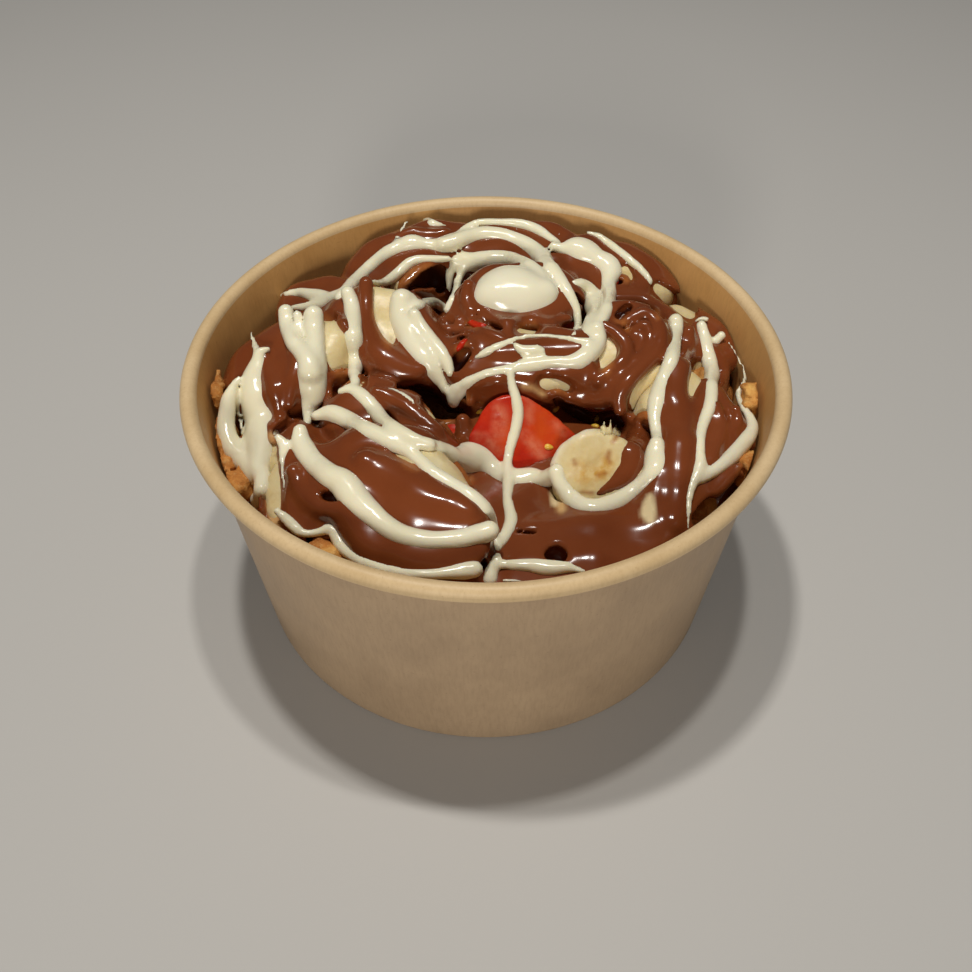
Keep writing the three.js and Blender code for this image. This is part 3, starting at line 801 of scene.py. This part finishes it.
# The large drop on the crest, and the height at which it and the strands stop growing.
WHITE_DROP = [(490, 295.5, 31), (499, 294, 44), (511, 293.5, 50), (524, 294, 48), (537, 294, 38),
    (545, 291, 24)]
WHITE_CROWN = 2.3
CROSSING_CROWN = 1.7
DROP_CROWN = 2.9
DROP_TOP = [(500, 293, 22), (512, 291, 32), (526, 292, 24)]
DROP_TOP_CROWN = 0.8
WHITE_BLEND = 1.2
CROSSING_BLEND = 0.5
DROP_TOP_BLEND = 2.5
WHITE_OVERHANG = 0.15        # how much nearer the wall it reaches than milk chocolate


def white_chocolate_field(surface):
    """Strands poured over everything else, the crossing ones last."""
    field = Field()
    for name, knots in WHITE_STRANDS.items():
        if name not in CROSSING:
            pour(field, surface, knots, WHITE_CROWN, WHITE_BLEND, reach=SPANS.get(name, 4))
    pour(field, surface, WHITE_DROP, DROP_CROWN, WHITE_BLEND)
    piled = surface.copy()
    piled.value = np.minimum(piled.value, field.value)
    pour(field, piled, DROP_TOP, DROP_TOP_CROWN, DROP_TOP_BLEND)
    for name in CROSSING:
        piled.value = np.minimum(piled.value, field.value)
        pour(field, piled, WHITE_STRANDS[name], CROSSING_CROWN, CROSSING_BLEND, reach=SPANS.get(name, 4))
    field.value = np.maximum(field.value, wall_distance(field.everywhere()) - WHITE_OVERHANG)
    return field


# ---------- small things ----------

# Bits of strawberry in the sauce, the frayed edge of the facing slice, and seeds.
BERRY_BITS = [
    [(470, 322, 6), (477, 325, 9), (484, 326, 7)],
    [(457, 350, 5), (462, 344, 8), (466, 340, 5)],
    [(427, 404, 6), (432, 410, 7)],
    [(612, 286, 6), (617, 282, 6)],
]
BANANA_TUFT = [
    [(601, 432, 5), (601, 428, 2)],
    [(604, 433, 7), (604, 426, 5), (605, 419, 1.5)],
    [(609, 433, 8), (610, 426, 5), (611, 420, 1.5)],
    [(614, 434, 8), (615, 429, 5), (616, 425, 2)],
    [(619, 435, 6), (620, 432, 4), (621, 430, 2)],
]
SEEDS = [(556, 409), (595, 426), (434.5, 412), (597, 419), (480, 412), (549, 447)]
SEED_SIZE = (1.15, 0.75, 0.6)        # half length, half width and half thickness in mm


def laid_bits(name, surface, shapes, crown, material, slot, upright=False):
    """Small lumps drawn in pixels, lying on the surface, or standing up from their first point."""
    field = Field()
    for knots in shapes:
        pour(field, surface, knots, crown, 0.4, reach=1, spacing=1.5, upright=upright)
    finish(net_mesh(field, name), material, slot)


def seeds_piece(surface):
    """Strawberry seeds lying on the fruit, pointed at one end."""
    travel, rays = cast(surface, SEEDS)
    places = CAMERA_AT + rays * travel[:, None]
    outward = surface.slope(places, 1.5)
    verts, faces = [], []
    rounds, rings = 10, 7
    blunt = 0.02                 # keeps the end rings from closing to a point
    for number, (place, up) in enumerate(zip(places, outward)):
        turn = 2.4 * number
        side = np.cross(up, (math.cos(turn), math.sin(turn), 0.3))
        side /= np.linalg.norm(side)
        along = np.cross(side, up)
        start = len(verts)
        for ring in range(rings):
            angle = math.pi * (ring + blunt) / (rings - 1 + 2 * blunt)
            wide = math.sin(angle) * (1 - 0.25 * math.cos(angle))
            for step in range(rounds):
                spin = 2 * math.pi * step / rounds
                verts.append(place + along * SEED_SIZE[0] * math.cos(angle)
                             + side * SEED_SIZE[1] * wide * math.cos(spin)
                             + up * SEED_SIZE[2] * wide * math.sin(spin))
        for ring in range(rings - 1):
            for step in range(rounds):
                a, b = start + ring * rounds + step, start + ring * rounds + (step + 1) % rounds
                faces.append((a, b, b + rounds, a + rounds))
        faces.append([start + step for step in reversed(range(rounds))])
        faces.append([start + (rings - 1) * rounds + step for step in range(rounds)])
    finish(mesh_object("strawberry_seeds", verts, faces), SEED, "strawberry")


# ---------- colour traced in pixels ----------

# The facing banana slice: its pale outer ring, ripe middle and brown marks.
SLICE_RING = [
    [(553, 464, 9), (555, 452, 10), (561, 441.5, 11), (571, 434, 11), (582, 430, 10), (592, 427, 6)],
]
SLICE_MIDDLE = [[(577, 470, 12), (588, 474, 19), (600, 472, 18), (607, 462, 14)]]
SLICE_MARKS = [
    [(574, 460, 3), (575, 464, 4)],
    [(609, 452, 4), (608, 458, 5), (610, 463, 3)],
    [(598, 475, 4), (605, 473, 4)],
    [(582, 492, 3), (592, 493, 4)],
    [(617, 436, 5), (613, 442, 4)],
]

# The front strawberry: pale streaks, orange patches and darker rim.
BERRY_PALE = [
    [(497, 404, 6), (501, 414, 10), (499, 428, 10), (496, 440, 6)],
    [(524, 434, 5), (531, 443, 8), (539, 452, 9), (545, 460, 6)],
    [(526, 398, 3), (529, 408, 6), (529, 420, 4)],
    [(478, 436, 4), (488, 440, 6), (497, 450, 6)],
    [(556, 424, 3), (562, 432, 4)],
]
BERRY_ORANGE = [
    [(541, 414, 12), (542, 428, 17), (540, 440, 12)],
    [(512, 428, 8), (506, 444, 8)],
    [(556, 440, 8), (560, 430, 8)],
]
BERRY_RIM = [
    [(474, 428, 5), (475, 410, 6), (483, 402, 6), (498, 393, 6), (521, 389, 7), (538, 392, 8),
     (552, 402, 8), (572, 418, 8), (588, 422, 6)],
]

# Where the sauce has the colour of banana, and where it is a thin film.
BANANA_FILMS = [
    [(650, 497, 7), (649, 505, 13), (648.5, 513, 15), (650, 518, 11)],
    [(553, 493, 6), (555, 502, 8)],
]
FILMS = [
    [(271, 436, 8), (271, 455, 10), (272, 475, 12), (273, 495, 13), (274, 514, 11), (276, 528, 8)],
    [(556, 487, 9), (559, 497, 12), (561, 508, 10)],
    [(524, 386, 5), (534, 388, 5), (543, 395, 4)],
]
THIN_EDGE = 1.6              # how far around a bare spot the coat shows what is under it


def paint(piece, name, shapes, soft=1.0):
    """Stores 0..1 on a mesh: 1 inside shapes drawn in pixels, fading out over a soft edge."""
    verts = np.empty(len(piece.data.vertices) * 3, dtype=np.float32)
    piece.data.vertices.foreach_get("co", verts)
    verts = verts.reshape(-1, 3) / MM
    amount = np.zeros(len(verts), dtype=np.float32)
    for knots in shapes:
        gap, depth = seen_gap(verts, knots)
        amount = np.maximum(amount, np.clip(0.5 - gap / soft, 0, 1))
    layer = piece.data.attributes.new(name, "FLOAT", "POINT")
    layer.data.foreach_set("value", amount)


# ---------- materials ----------

def linear(red, green, blue):
    """Linear colour of an sRGB colour in 0..255."""
    def part(c):
        c = c / 255
        return c / 12.92 if c <= 0.04045 else ((c + 0.055) / 1.055) ** 2.4
    return (part(red), part(green), part(blue), 1.0)


class Shader:
    """Short names for building one procedural material in object space."""

    def __init__(self, name, **sockets):
        self.material = bpy.data.materials.new(name)
        self.material.use_nodes = True
        self.tree = self.material.node_tree
        self.surface = self.tree.nodes["Principled BSDF"]
        for socket, value in sockets.items():
            self.surface.inputs[socket.replace("_", " ")].default_value = value
        self.place = self.tree.nodes.new("ShaderNodeTexCoord").outputs["Object"]

    def feed(self, value, socket):
        """Links a socket's output, or sets a constant on the socket itself."""
        if isinstance(value, bpy.types.NodeSocket):
            self.tree.links.new(value, socket)
        else:
            socket.default_value = value

    def add(self, kind, **sockets):
        node = self.tree.nodes.new("ShaderNode" + kind)
        for socket, value in sockets.items():
            self.feed(value, node.inputs[socket.replace("_", " ")])
        return node

    def stretched(self, scale):
        return self.add("Mapping", Scale=scale, Vector=self.place).outputs[0]

    def noise(self, scale, detail=4.0, roughness=0.55, place=None):
        return self.add("TexNoise", Scale=scale, Detail=detail, Roughness=roughness,
                        Vector=place or self.place).outputs["Fac"]

    def attribute(self, name):
        node = self.add("Attribute")
        node.attribute_name = name
        return node.outputs["Fac"]

    def ramp(self, value, *stops):
        node = self.add("ValToRGB", Fac=value)
        elements = node.color_ramp.elements
        while len(elements) < len(stops):
            elements.new(0.5)
        for element, (at, colour) in zip(elements, stops):
            element.position = at
            element.color = colour
        return node.outputs[0]

    def span(self, value, low, high, start=0.0, end=1.0):
        return self.add("MapRange", Value=value, From_Min=low, From_Max=high, To_Min=start,
                        To_Max=end).outputs[0]

    def mix(self, part, first, second):
        """Mixes two colours."""
        node = self.add("Mix")
        node.data_type = "RGBA"
        for slot, value in ((0, part), (6, first), (7, second)):
            self.feed(value, node.inputs[slot])
        return node.outputs[2]

    def sum(self, first, second, operation="ADD"):
        node = self.add("Math")
        node.operation = operation
        self.feed(first, node.inputs[0])
        self.feed(second, node.inputs[1])
        return node.outputs[0]

    def times(self, first, second):
        return self.sum(first, second, "MULTIPLY")

    def colour(self, out):
        self.feed(out, self.surface.inputs["Base Color"])

    def rough(self, out):
        self.feed(out, self.surface.inputs["Roughness"])

    def bump(self, height, distance, strength=1.0):
        node = self.add("Bump", Strength=strength, Distance=distance * MM, Height=height)
        self.feed(node.outputs[0], self.surface.inputs["Normal"])


def kraft_paper(name, dark, light, fleck):
    look = Shader(name, Roughness=0.5, Specular_IOR_Level=0.35)
    clouds = look.noise(55, 5, 0.6)
    fibres = look.noise(700, 3, 0.7)
    base = look.ramp(clouds, (0.3, dark), (0.7, light))
    flecks = look.noise(1500, 2, 0.5)
    base = look.mix(look.span(flecks, 0.66, 0.76, 0.0, 0.35), base, fleck)
    streaks = look.noise(1400, 4, 0.6, place=look.stretched((1, 1, 0.12)))
    base = look.mix(look.span(streaks, 0.42, 0.7, 0.0, 0.16), base, fleck)
    look.colour(base)
    look.rough(look.span(clouds, 0.3, 0.7, 0.42, 0.56))
    look.bump(fibres, 0.04, 0.25)
    return look.material


def milk_chocolate():
    look = Shader("milk_chocolate", Subsurface_Weight=0.06, Specular_IOR_Level=0.42,
                  Subsurface_Radius=(0.003, 0.0012, 0.0006), Subsurface_Scale=0.5)
    clouds = look.noise(60, 3, 0.5)
    base = look.ramp(clouds, (0.3, linear(112, 54, 24)), (0.7, linear(124, 63, 31)))
    thin = look.times(look.attribute("thin"), look.span(look.noise(260, 3), 0.3, 0.6, 0.35, 1))
    base = look.mix(thin, base, linear(168, 100, 48))
    film = look.times(look.attribute("film"), look.span(look.noise(330, 3), 0.35, 0.6, 0.55, 1))
    base = look.mix(film, base, linear(206, 164, 108))
    base = look.mix(look.attribute("banana"), base, linear(228, 206, 160))
    look.colour(base)
    look.rough(look.span(look.noise(120, 2), 0.35, 0.65, 0.12, 0.2))
    look.bump(look.noise(130, 2, 0.5), 0.12, 0.1)
    return look.material


def white_chocolate():
    look = Shader("white_chocolate", Subsurface_Weight=0.3, IOR=1.45,
                  Subsurface_Radius=(0.004, 0.003, 0.0018), Subsurface_Scale=0.5)
    clouds = look.noise(60, 3, 0.5)
    look.colour(look.ramp(clouds, (0.3, linear(232, 224, 192)), (0.7, linear(238, 231, 203))))
    look.rough(look.span(look.noise(140, 2), 0.35, 0.65, 0.14, 0.24))
    look.bump(look.noise(180, 2, 0.5), 0.08, 0.12)
    return look.material


def banana_flesh():
    look = Shader("banana_flesh", Roughness=0.36, Subsurface_Weight=0.3, IOR=1.42,
                  Subsurface_Radius=(0.005, 0.0035, 0.0012), Subsurface_Scale=0.6)
    clouds = look.noise(90, 4, 0.6)
    strands = look.noise(420, 3, 0.6)
    base = look.ramp(clouds, (0.25, linear(206, 180, 122)), (0.6, linear(222, 204, 156)),
                     (0.85, linear(234, 222, 184)))
    base = look.mix(look.span(strands, 0.55, 0.75, 0, 0.25), base, linear(196, 158, 92))
    middle = look.times(look.attribute("middle"), look.span(strands, 0.4, 0.6, 0.3, 0.9))
    base = look.mix(middle, base, linear(196, 146, 52))
    base = look.mix(look.times(look.attribute("ring"), 0.85), base, linear(238, 226, 200))
    base = look.mix(look.times(look.attribute("mark"), 0.8), base, linear(160, 96, 32))
    look.colour(base)
    look.bump(look.sum(clouds, strands), 0.25, 0.45)
    return look.material


def strawberry_flesh():
    look = Shader("strawberry_flesh", Roughness=0.25, Subsurface_Weight=0.22, IOR=1.4,
                  Subsurface_Radius=(0.006, 0.0015, 0.0008), Subsurface_Scale=0.6)
    clouds = look.noise(140, 4, 0.6)
    base = look.ramp(clouds, (0.3, linear(174, 30, 12)), (0.6, linear(192, 48, 18)),
                     (0.8, linear(196, 66, 32)))
    orange = look.times(look.attribute("orange"), 0.55)
    base = look.mix(orange, base, linear(204, 92, 18))
    pale = look.times(look.attribute("pale"), look.span(look.noise(500, 3), 0.35, 0.6, 0.15, 0.6))
    base = look.mix(pale, base, linear(216, 138, 104))
    base = look.mix(look.times(look.attribute("rim"), 0.75), base, linear(168, 14, 8))
    look.colour(base)
    look.bump(look.sum(clouds, look.noise(420, 2)), 0.3, 0.45)
    return look.material


def seed_husk():
    look = Shader("seed_husk", Roughness=0.35)
    look.colour(look.ramp(look.noise(900, 2), (0.3, linear(214, 160, 40)), (0.7, linear(236, 196, 84))))
    look.bump(look.noise(2500, 2), 0.05, 0.5)
    return look.material


def waffle_crust():
    look = Shader("waffle_crust", Roughness=0.75, Specular_IOR_Level=0.3)
    patches = look.noise(110, 5, 0.65)
    crumbs = look.noise(700, 4, 0.7)
    base = look.ramp(patches, (0.28, linear(138, 74, 26)), (0.5, linear(196, 128, 58)),
                     (0.72, linear(232, 182, 100)))
    base = look.mix(look.span(crumbs, 0.5, 0.75, 0, 0.5), base, linear(238, 200, 130))
    look.colour(base)
    look.bump(look.sum(patches, crumbs), 0.8, 0.7)
    return look.material


def studio_floor():
    look = Shader("studio_floor", Roughness=0.8)
    look.colour(look.ramp(look.noise(3, 2), (0, linear(188, 185, 180)), (1, linear(193, 190, 185))))
    return look.material


# ---------- the paper bowl ----------

ROUND_STEPS = 288
SEAM_ANGLE = math.radians(118)      # at the back, away from the shown side
SEAM_WIDTH_MM = 8.0
SEAM_STEP_MM = 0.28


def turned(name, profile, seam=None):
    """A closed ring profile (radius, height) turned about Z."""
    profile = np.array(profile, dtype=float)
    angles = np.arange(ROUND_STEPS) * 2 * math.pi / ROUND_STEPS
    rings = len(profile)
    radius = np.repeat(profile[None, :, 0], ROUND_STEPS, axis=0)
    height = np.repeat(profile[None, :, 1], ROUND_STEPS, axis=0)
    if seam is not None:
        lap = (angles - SEAM_ANGLE) * profile[:, 0].mean() / SEAM_WIDTH_MM
        lift = np.clip((0.5 - np.abs(lap)) * 8, 0, 1) * SEAM_STEP_MM
        radius = radius + lift[:, None] * np.asarray(seam)[None, :]
    verts = np.stack([radius * np.cos(angles)[:, None], radius * np.sin(angles)[:, None], height], -1)
    faces = []
    for i in range(ROUND_STEPS):
        j = (i + 1) % ROUND_STEPS
        for a in range(rings):
            b = (a + 1) % rings
            faces.append((i * rings + a, j * rings + a, j * rings + b, i * rings + b))
    return mesh_object(name, verts.reshape(-1, 3), faces)


def arc(centre_radius, centre_height, half_width, half_height, start, end, steps):
    """Points (radius, height) of an ellipse between two angles in degrees."""
    return [(centre_radius + half_width * math.cos(math.radians(t)),
             centre_height + half_height * math.sin(math.radians(t)))
            for t in np.linspace(start, end, steps + 1)]


def paper_bowl():
    """The wall with its rolled rim and folded foot, and the recessed base disc."""
    _, high = node_box("bowl_wall")
    rim, height = round(high[0], 2), round(high[2], 2)
    neck, foot = 71.15, 64.0
    roll_width, roll_height = 2.05, 2.1
    neck_height = height - 2 * roll_height
    wall = 0.9
    slope = (neck - foot) / neck_height

    def outer(z):
        return foot + slope * z
    outside = [(outer(z), z) for z in np.linspace(1.2, neck_height - 0.6, 14)]
    roll = arc(rim - roll_width, height - roll_height, roll_width, roll_height, -118, 176, 28)
    inside = [(outer(z) - wall, z) for z in np.linspace(neck_height + 0.4, 0.8, 14)]
    fold = [(61.6, 0.8), (61.6, 6.6), (61.3, 6.9), (61.0, 6.6), (61.0, 0.5), (61.2, 0.12), (61.8, 0.0)]
    heel = [(63.3, 0.0), (63.8, 0.15), (64.02, 0.5)]
    profile = outside + roll + inside + fold + heel
    fading = 16                  # points of the roll over which the seam fades
    seam = [1.0] * len(outside) + [0.35] * fading
    seam += [0.0] * (len(profile) - len(seam))
    wall_piece = turned("paper_bowl_wall", profile, seam)
    top = 8.8
    skirt = 62.9
    disc = [(0.01, 8.0), (50, 8.0), (61.6, 8.0), (62.1, 7.7), (62.3, 7.2), (62.3, 1.1), (62.6, 0.95),
            (skirt, 1.1), (skirt + 0.6, 7.9), (skirt + 0.5, 8.5), (skirt, top), (50, top), (0.01, top)]
    base_piece = turned("paper_bowl_base", disc)
    for piece, node in ((wall_piece, "bowl_wall"), (base_piece, "bowl_base")):
        finish(piece, PAPER_OUTSIDE_PAINTED_SHADE, "kraft_paper", node)
    # The roll takes the lighter copy of the paper, with painted light on its top. The inside takes the more
    # orange copy, with painted bounce light. The outside keeps the darker copy, with painted shade.
    wall_piece.data.materials.append(PAPER_INSIDE_PAINTED_BOUNCE)
    wall_piece.data.materials.append(PAPER_RIM_PAINTED_LIGHT)
    rolled = range(len(outside), len(outside) + len(roll) - 1)
    lined = range(rolled.stop, rolled.stop + len(inside))
    for number, face in enumerate(wall_piece.data.polygons):
        if number % len(profile) in rolled:
            face.material_index = 2
        elif number % len(profile) in lined:
            face.material_index = 1


# ---------- finishing pieces ----------

def finish(piece, material, slot, *nodes):
    """Gives a piece its material and body, and hides the frame nodes that it stands for; slot is not used.
    """
    piece.data.materials.append(material)
    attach(piece, "root")
    if nodes:
        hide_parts(*nodes)


FINE_STEP = 0.5              # grid step of the fruit that lies bare
PLAIN_STEP = 0.9


def lump_piece(node, shape, step, material, slot, relief=0.0, pitch=4.0):
    """The visible fruit or waffle piece of a frame node, opened where the hollows are."""
    field = Field(shape.low - 3, shape.high + 3, step)
    field.join(shape, shape.low - 9, shape.high + 9, 0.0)
    everywhere = field.everywhere()
    field.value += relief * lumpiness(everywhere, pitch, shape.seed)
    for centre, radius in HOLLOW_TUBES:
        if (centre.min(axis=0) < shape.high + 4).all() and (centre.max(axis=0) > shape.low - 4).all():
            part, where = tube_field(field, centre, radius + HOLLOW_MARGIN)
            if part.value.size:
                field.value[where] = np.maximum(field.value[where], -part.value)
    field.value = np.maximum(field.value, wall_distance(everywhere))
    field.value = np.maximum(field.value, FOOD_FLOOR - everywhere[..., 2])
    piece = net_mesh(field, node + "_form")
    finish(piece, material, slot, node)
    return piece


def lumpiness(points, pitch, seed):
    """Crumbly relief: several octaves of turned waves."""
    rng = np.random.default_rng(900 + seed)
    total = np.zeros(points.shape[:-1], dtype=np.float32)
    for octave in range(3):
        turns = 2 * math.pi / (pitch / 1.8 ** octave)
        for _ in range(3):
            way = rng.normal(size=3)
            way = (way / np.linalg.norm(way)).astype(np.float32)
            total += np.sin(points @ way * turns + rng.uniform(0, 6.28)) / 1.7 ** octave / 2
    return total


BED_TOP = 48.5               # mean height of the buried waffle
BED_RELIEF = 1.6
BED_PITCH = 17.0
BED_STEP = 1.5
BED_WALL_GAP = 0.4


def waffle_bed_piece():
    """The buried waffle pieces as one lumpy bed."""
    low, high = node_box("waffle_bed")
    field = Field(low - 2, (*(high[:2] + 2), BED_TOP + 9.5), BED_STEP)
    everywhere = field.everywhere()
    top = everywhere[..., 2] - BED_TOP - BED_RELIEF * lumpiness(everywhere, BED_PITCH, 5)
    field.value = np.maximum(top, wall_distance(everywhere) + BED_WALL_GAP).astype(np.float32)
    field.value = np.maximum(field.value, low[2] - everywhere[..., 2])
    finish(net_mesh(field, "waffle_bed_form"), WAFFLE, "waffle", "waffle_bed")


# Broken waffle edges that stick up along the wall: pixel x and y, height and half sizes in
# millimetres, and turn in degrees.
WAFFLE_EDGES = [(216, 396, 62, (2.6, 5.0, 4.5), 10), (219, 444, 57, (3.2, 5.5, 4.5), -15),
                (229, 465, 55, (3.8, 6.0, 4.5), -32), (243, 486, 55, (3.2, 4.5, 4.0), -40),
                (749, 402, 61, (2.2, 4.6, 4.0), -8), (747, 472, 58, (2.6, 4.8, 4.0), 25),
                (326, 555, 56, (4.5, 2.4, 3.0), -28), (728, 432, 58, (1.6, 5.0, 4.0), 12)]
CRUST_ROUNDING = 1.4
CRUST_RELIEF = 0.55
CRUST_PITCH = 4.5
CRUST_WALL_GAP = 0.3


def waffle_edges_field():
    """Crumbly blocks that stand between the sauce and the wall."""
    field = Field()
    for number, (px, py, height, half, turn) in enumerate(WAFFLE_EDGES):
        ray = pixel_rays([(px, py)])[0]
        at = CAMERA_AT + ray * (height - CAMERA_AT[2]) / ray[2]
        spin = math.radians(turn)
        cos, sin = math.cos(spin), math.sin(spin)
        axes = np.array([[cos, sin, 0], [-sin, cos, 0], [0, 0, 1]])

        def crust(points, at=at, axes=axes, half=half, number=number):
            local = np.abs((points - at.astype(np.float32)) @ axes.T.astype(np.float32))
            beyond = np.maximum(local - np.array(half, dtype=np.float32) + CRUST_ROUNDING, 0)
            shape = np.sqrt((beyond * beyond).sum(axis=-1)) - CRUST_ROUNDING
            return shape + CRUST_RELIEF * lumpiness(points, CRUST_PITCH, 70 + number)
        field.join(crust, at - 11, at + 11, 0.0)
    field.value = np.maximum(field.value, wall_distance(field.everywhere()) + CRUST_WALL_GAP)
    return field


# ---------- stage ----------

# Lamps: name, place, the height on the axis that they shine at, side, watts and colour; in metres.
LAMPS = [("front", (-0.16, -1.2, 0.48), 0.05, 0.18, 6.7, (1, 0.96, 0.9)),
         ("lamp_left", (-0.11, 0.06, 0.95), 0.06, 0.05, 3.5, (1, 0.98, 0.94)),
         ("lamp_right", (0.06, 0.03, 0.95), 0.06, 0.04, 2.2, (1, 0.98, 0.94))]
SKY_COLOUR = (0.96, 0.97, 1.0, 1)
SKY_STRENGTH = 0.07
FLOOR_SIZE = 6.0


def area_light(name, at, aim_height, side, power, colour):
    data = bpy.data.lights.new(name, "AREA")
    data.shape = "RECTANGLE"
    data.size, data.size_y = side, side
    data.energy = power
    data.color = colour
    light = bpy.data.objects.new(name, data)
    light.location = at
    way = Vector((0, 0, aim_height)) - Vector(at)
    light.rotation_euler = way.to_track_quat("-Z", "Y").to_euler()
    bpy.context.scene.collection.objects.link(light)


def studio():
    """A plain pale floor under soft light."""
    bpy.ops.mesh.primitive_plane_add(size=FLOOR_SIZE, location=(0, 0, 0))
    floor = bpy.context.object
    floor.name = "studio_floor"
    floor.data.materials.append(studio_floor())
    world = bpy.data.worlds.new("studio")
    bpy.context.scene.world = world
    world.use_nodes = True
    sky = world.node_tree.nodes["Background"].inputs
    sky["Color"].default_value = SKY_COLOUR
    sky["Strength"].default_value = SKY_STRENGTH
    for lamp in LAMPS:
        area_light(*lamp)
    bpy.context.scene.view_settings.view_transform = "Standard"


# ---------- assembly: materials, then fields of food and sauce, then pieces ----------

add_camera()
studio()
# Three copies of one kraft paper with light and shade painted into their colour: the outside darker as
# painted shade on the outer wall, the inside more orange as painted bounce light, and the rim lighter as
# painted light on the roll's top.
PAPER_OUTSIDE_PAINTED_SHADE = kraft_paper("kraft_outside_painted_shade", linear(168, 142, 112), linear(184, 157, 125),
                            linear(114, 90, 64))
PAPER_INSIDE_PAINTED_BOUNCE = kraft_paper("kraft_inside_painted_bounce", linear(192, 144, 84), linear(208, 160, 98), linear(140, 98, 52))
PAPER_RIM_PAINTED_LIGHT = kraft_paper("kraft_rim_painted_light", linear(206, 176, 130), linear(220, 192, 148), linear(160, 124, 80))
CHOCOLATE = milk_chocolate()
WHITE = white_chocolate()
BANANA = banana_flesh()
STRAWBERRY = strawberry_flesh()
WAFFLE = waffle_crust()
SEED = seed_husk()

fruit = fruit_field()
chocolate = milk_chocolate_field()
covered = chocolate.copy()
covered.value = np.minimum(chocolate.value, fruit.value)
HOLLOW_TUBES = hollow_tubes(covered)
open_coat(chocolate, fruit, HOLLOW_TUBES)
for centre, radius in HOLLOW_TUBES:
    join_strand(fruit, centre, radius + HOLLOW_MARGIN, 0.0, -1)
edges = waffle_edges_field()
covered.value = np.minimum(np.minimum(chocolate.value, fruit.value), edges.value)
white = white_chocolate_field(covered)

paper_bowl()
waffle_bed_piece()
finish(net_mesh(edges, "waffle_edges"), WAFFLE, "waffle")
for number, node in enumerate(WAFFLE_NODES):
    shape = Lump(node, rounding=0.6, uneven=0.6, pitch=9.0, seed=60 + number)
    lump_piece(node, shape, PLAIN_STEP, WAFFLE, "waffle", relief=0.7, pitch=6.0)
for node, shape in LUMPS.items():
    step = FINE_STEP if node in BARE_FRUIT else PLAIN_STEP
    piece = lump_piece(node, shape, step, BANANA, "banana", relief=0.12)
    if node in BARE_FRUIT:
        paint(piece, "ring", SLICE_RING, 2.0)
        paint(piece, "middle", SLICE_MIDDLE, 4.0)
        paint(piece, "mark", SLICE_MARKS)
for node, shape in BERRIES.items():
    piece = lump_piece(node, shape, FINE_STEP, STRAWBERRY, "strawberry", relief=0.08)
    if node in BARE_FRUIT:
        paint(piece, "orange", BERRY_ORANGE, 7.0)
        paint(piece, "pale", BERRY_PALE, 3.0)
        paint(piece, "rim", BERRY_RIM, 2.0)
laid_bits("strawberry_bits", covered, BERRY_BITS, 1.4, STRAWBERRY, "strawberry")
laid_bits("banana_tuft", covered, BANANA_TUFT, 1.6, BANANA, "banana", upright=True)
seeds_piece(covered)
sauce = net_mesh(chocolate, "milk_chocolate_sauce")
paint(sauce, "film", FILMS, 1.2)
paint(sauce, "banana", BANANA_FILMS, 1.0)
paint(sauce, "thin", list(BARE_SPOTS.values()), THIN_EDGE)
finish(sauce, CHOCOLATE, "milk_chocolate", "chocolate_pool_front")
finish(net_mesh(white, "white_chocolate_sauce"), WHITE, "white_chocolate", "white_chocolate_drop")
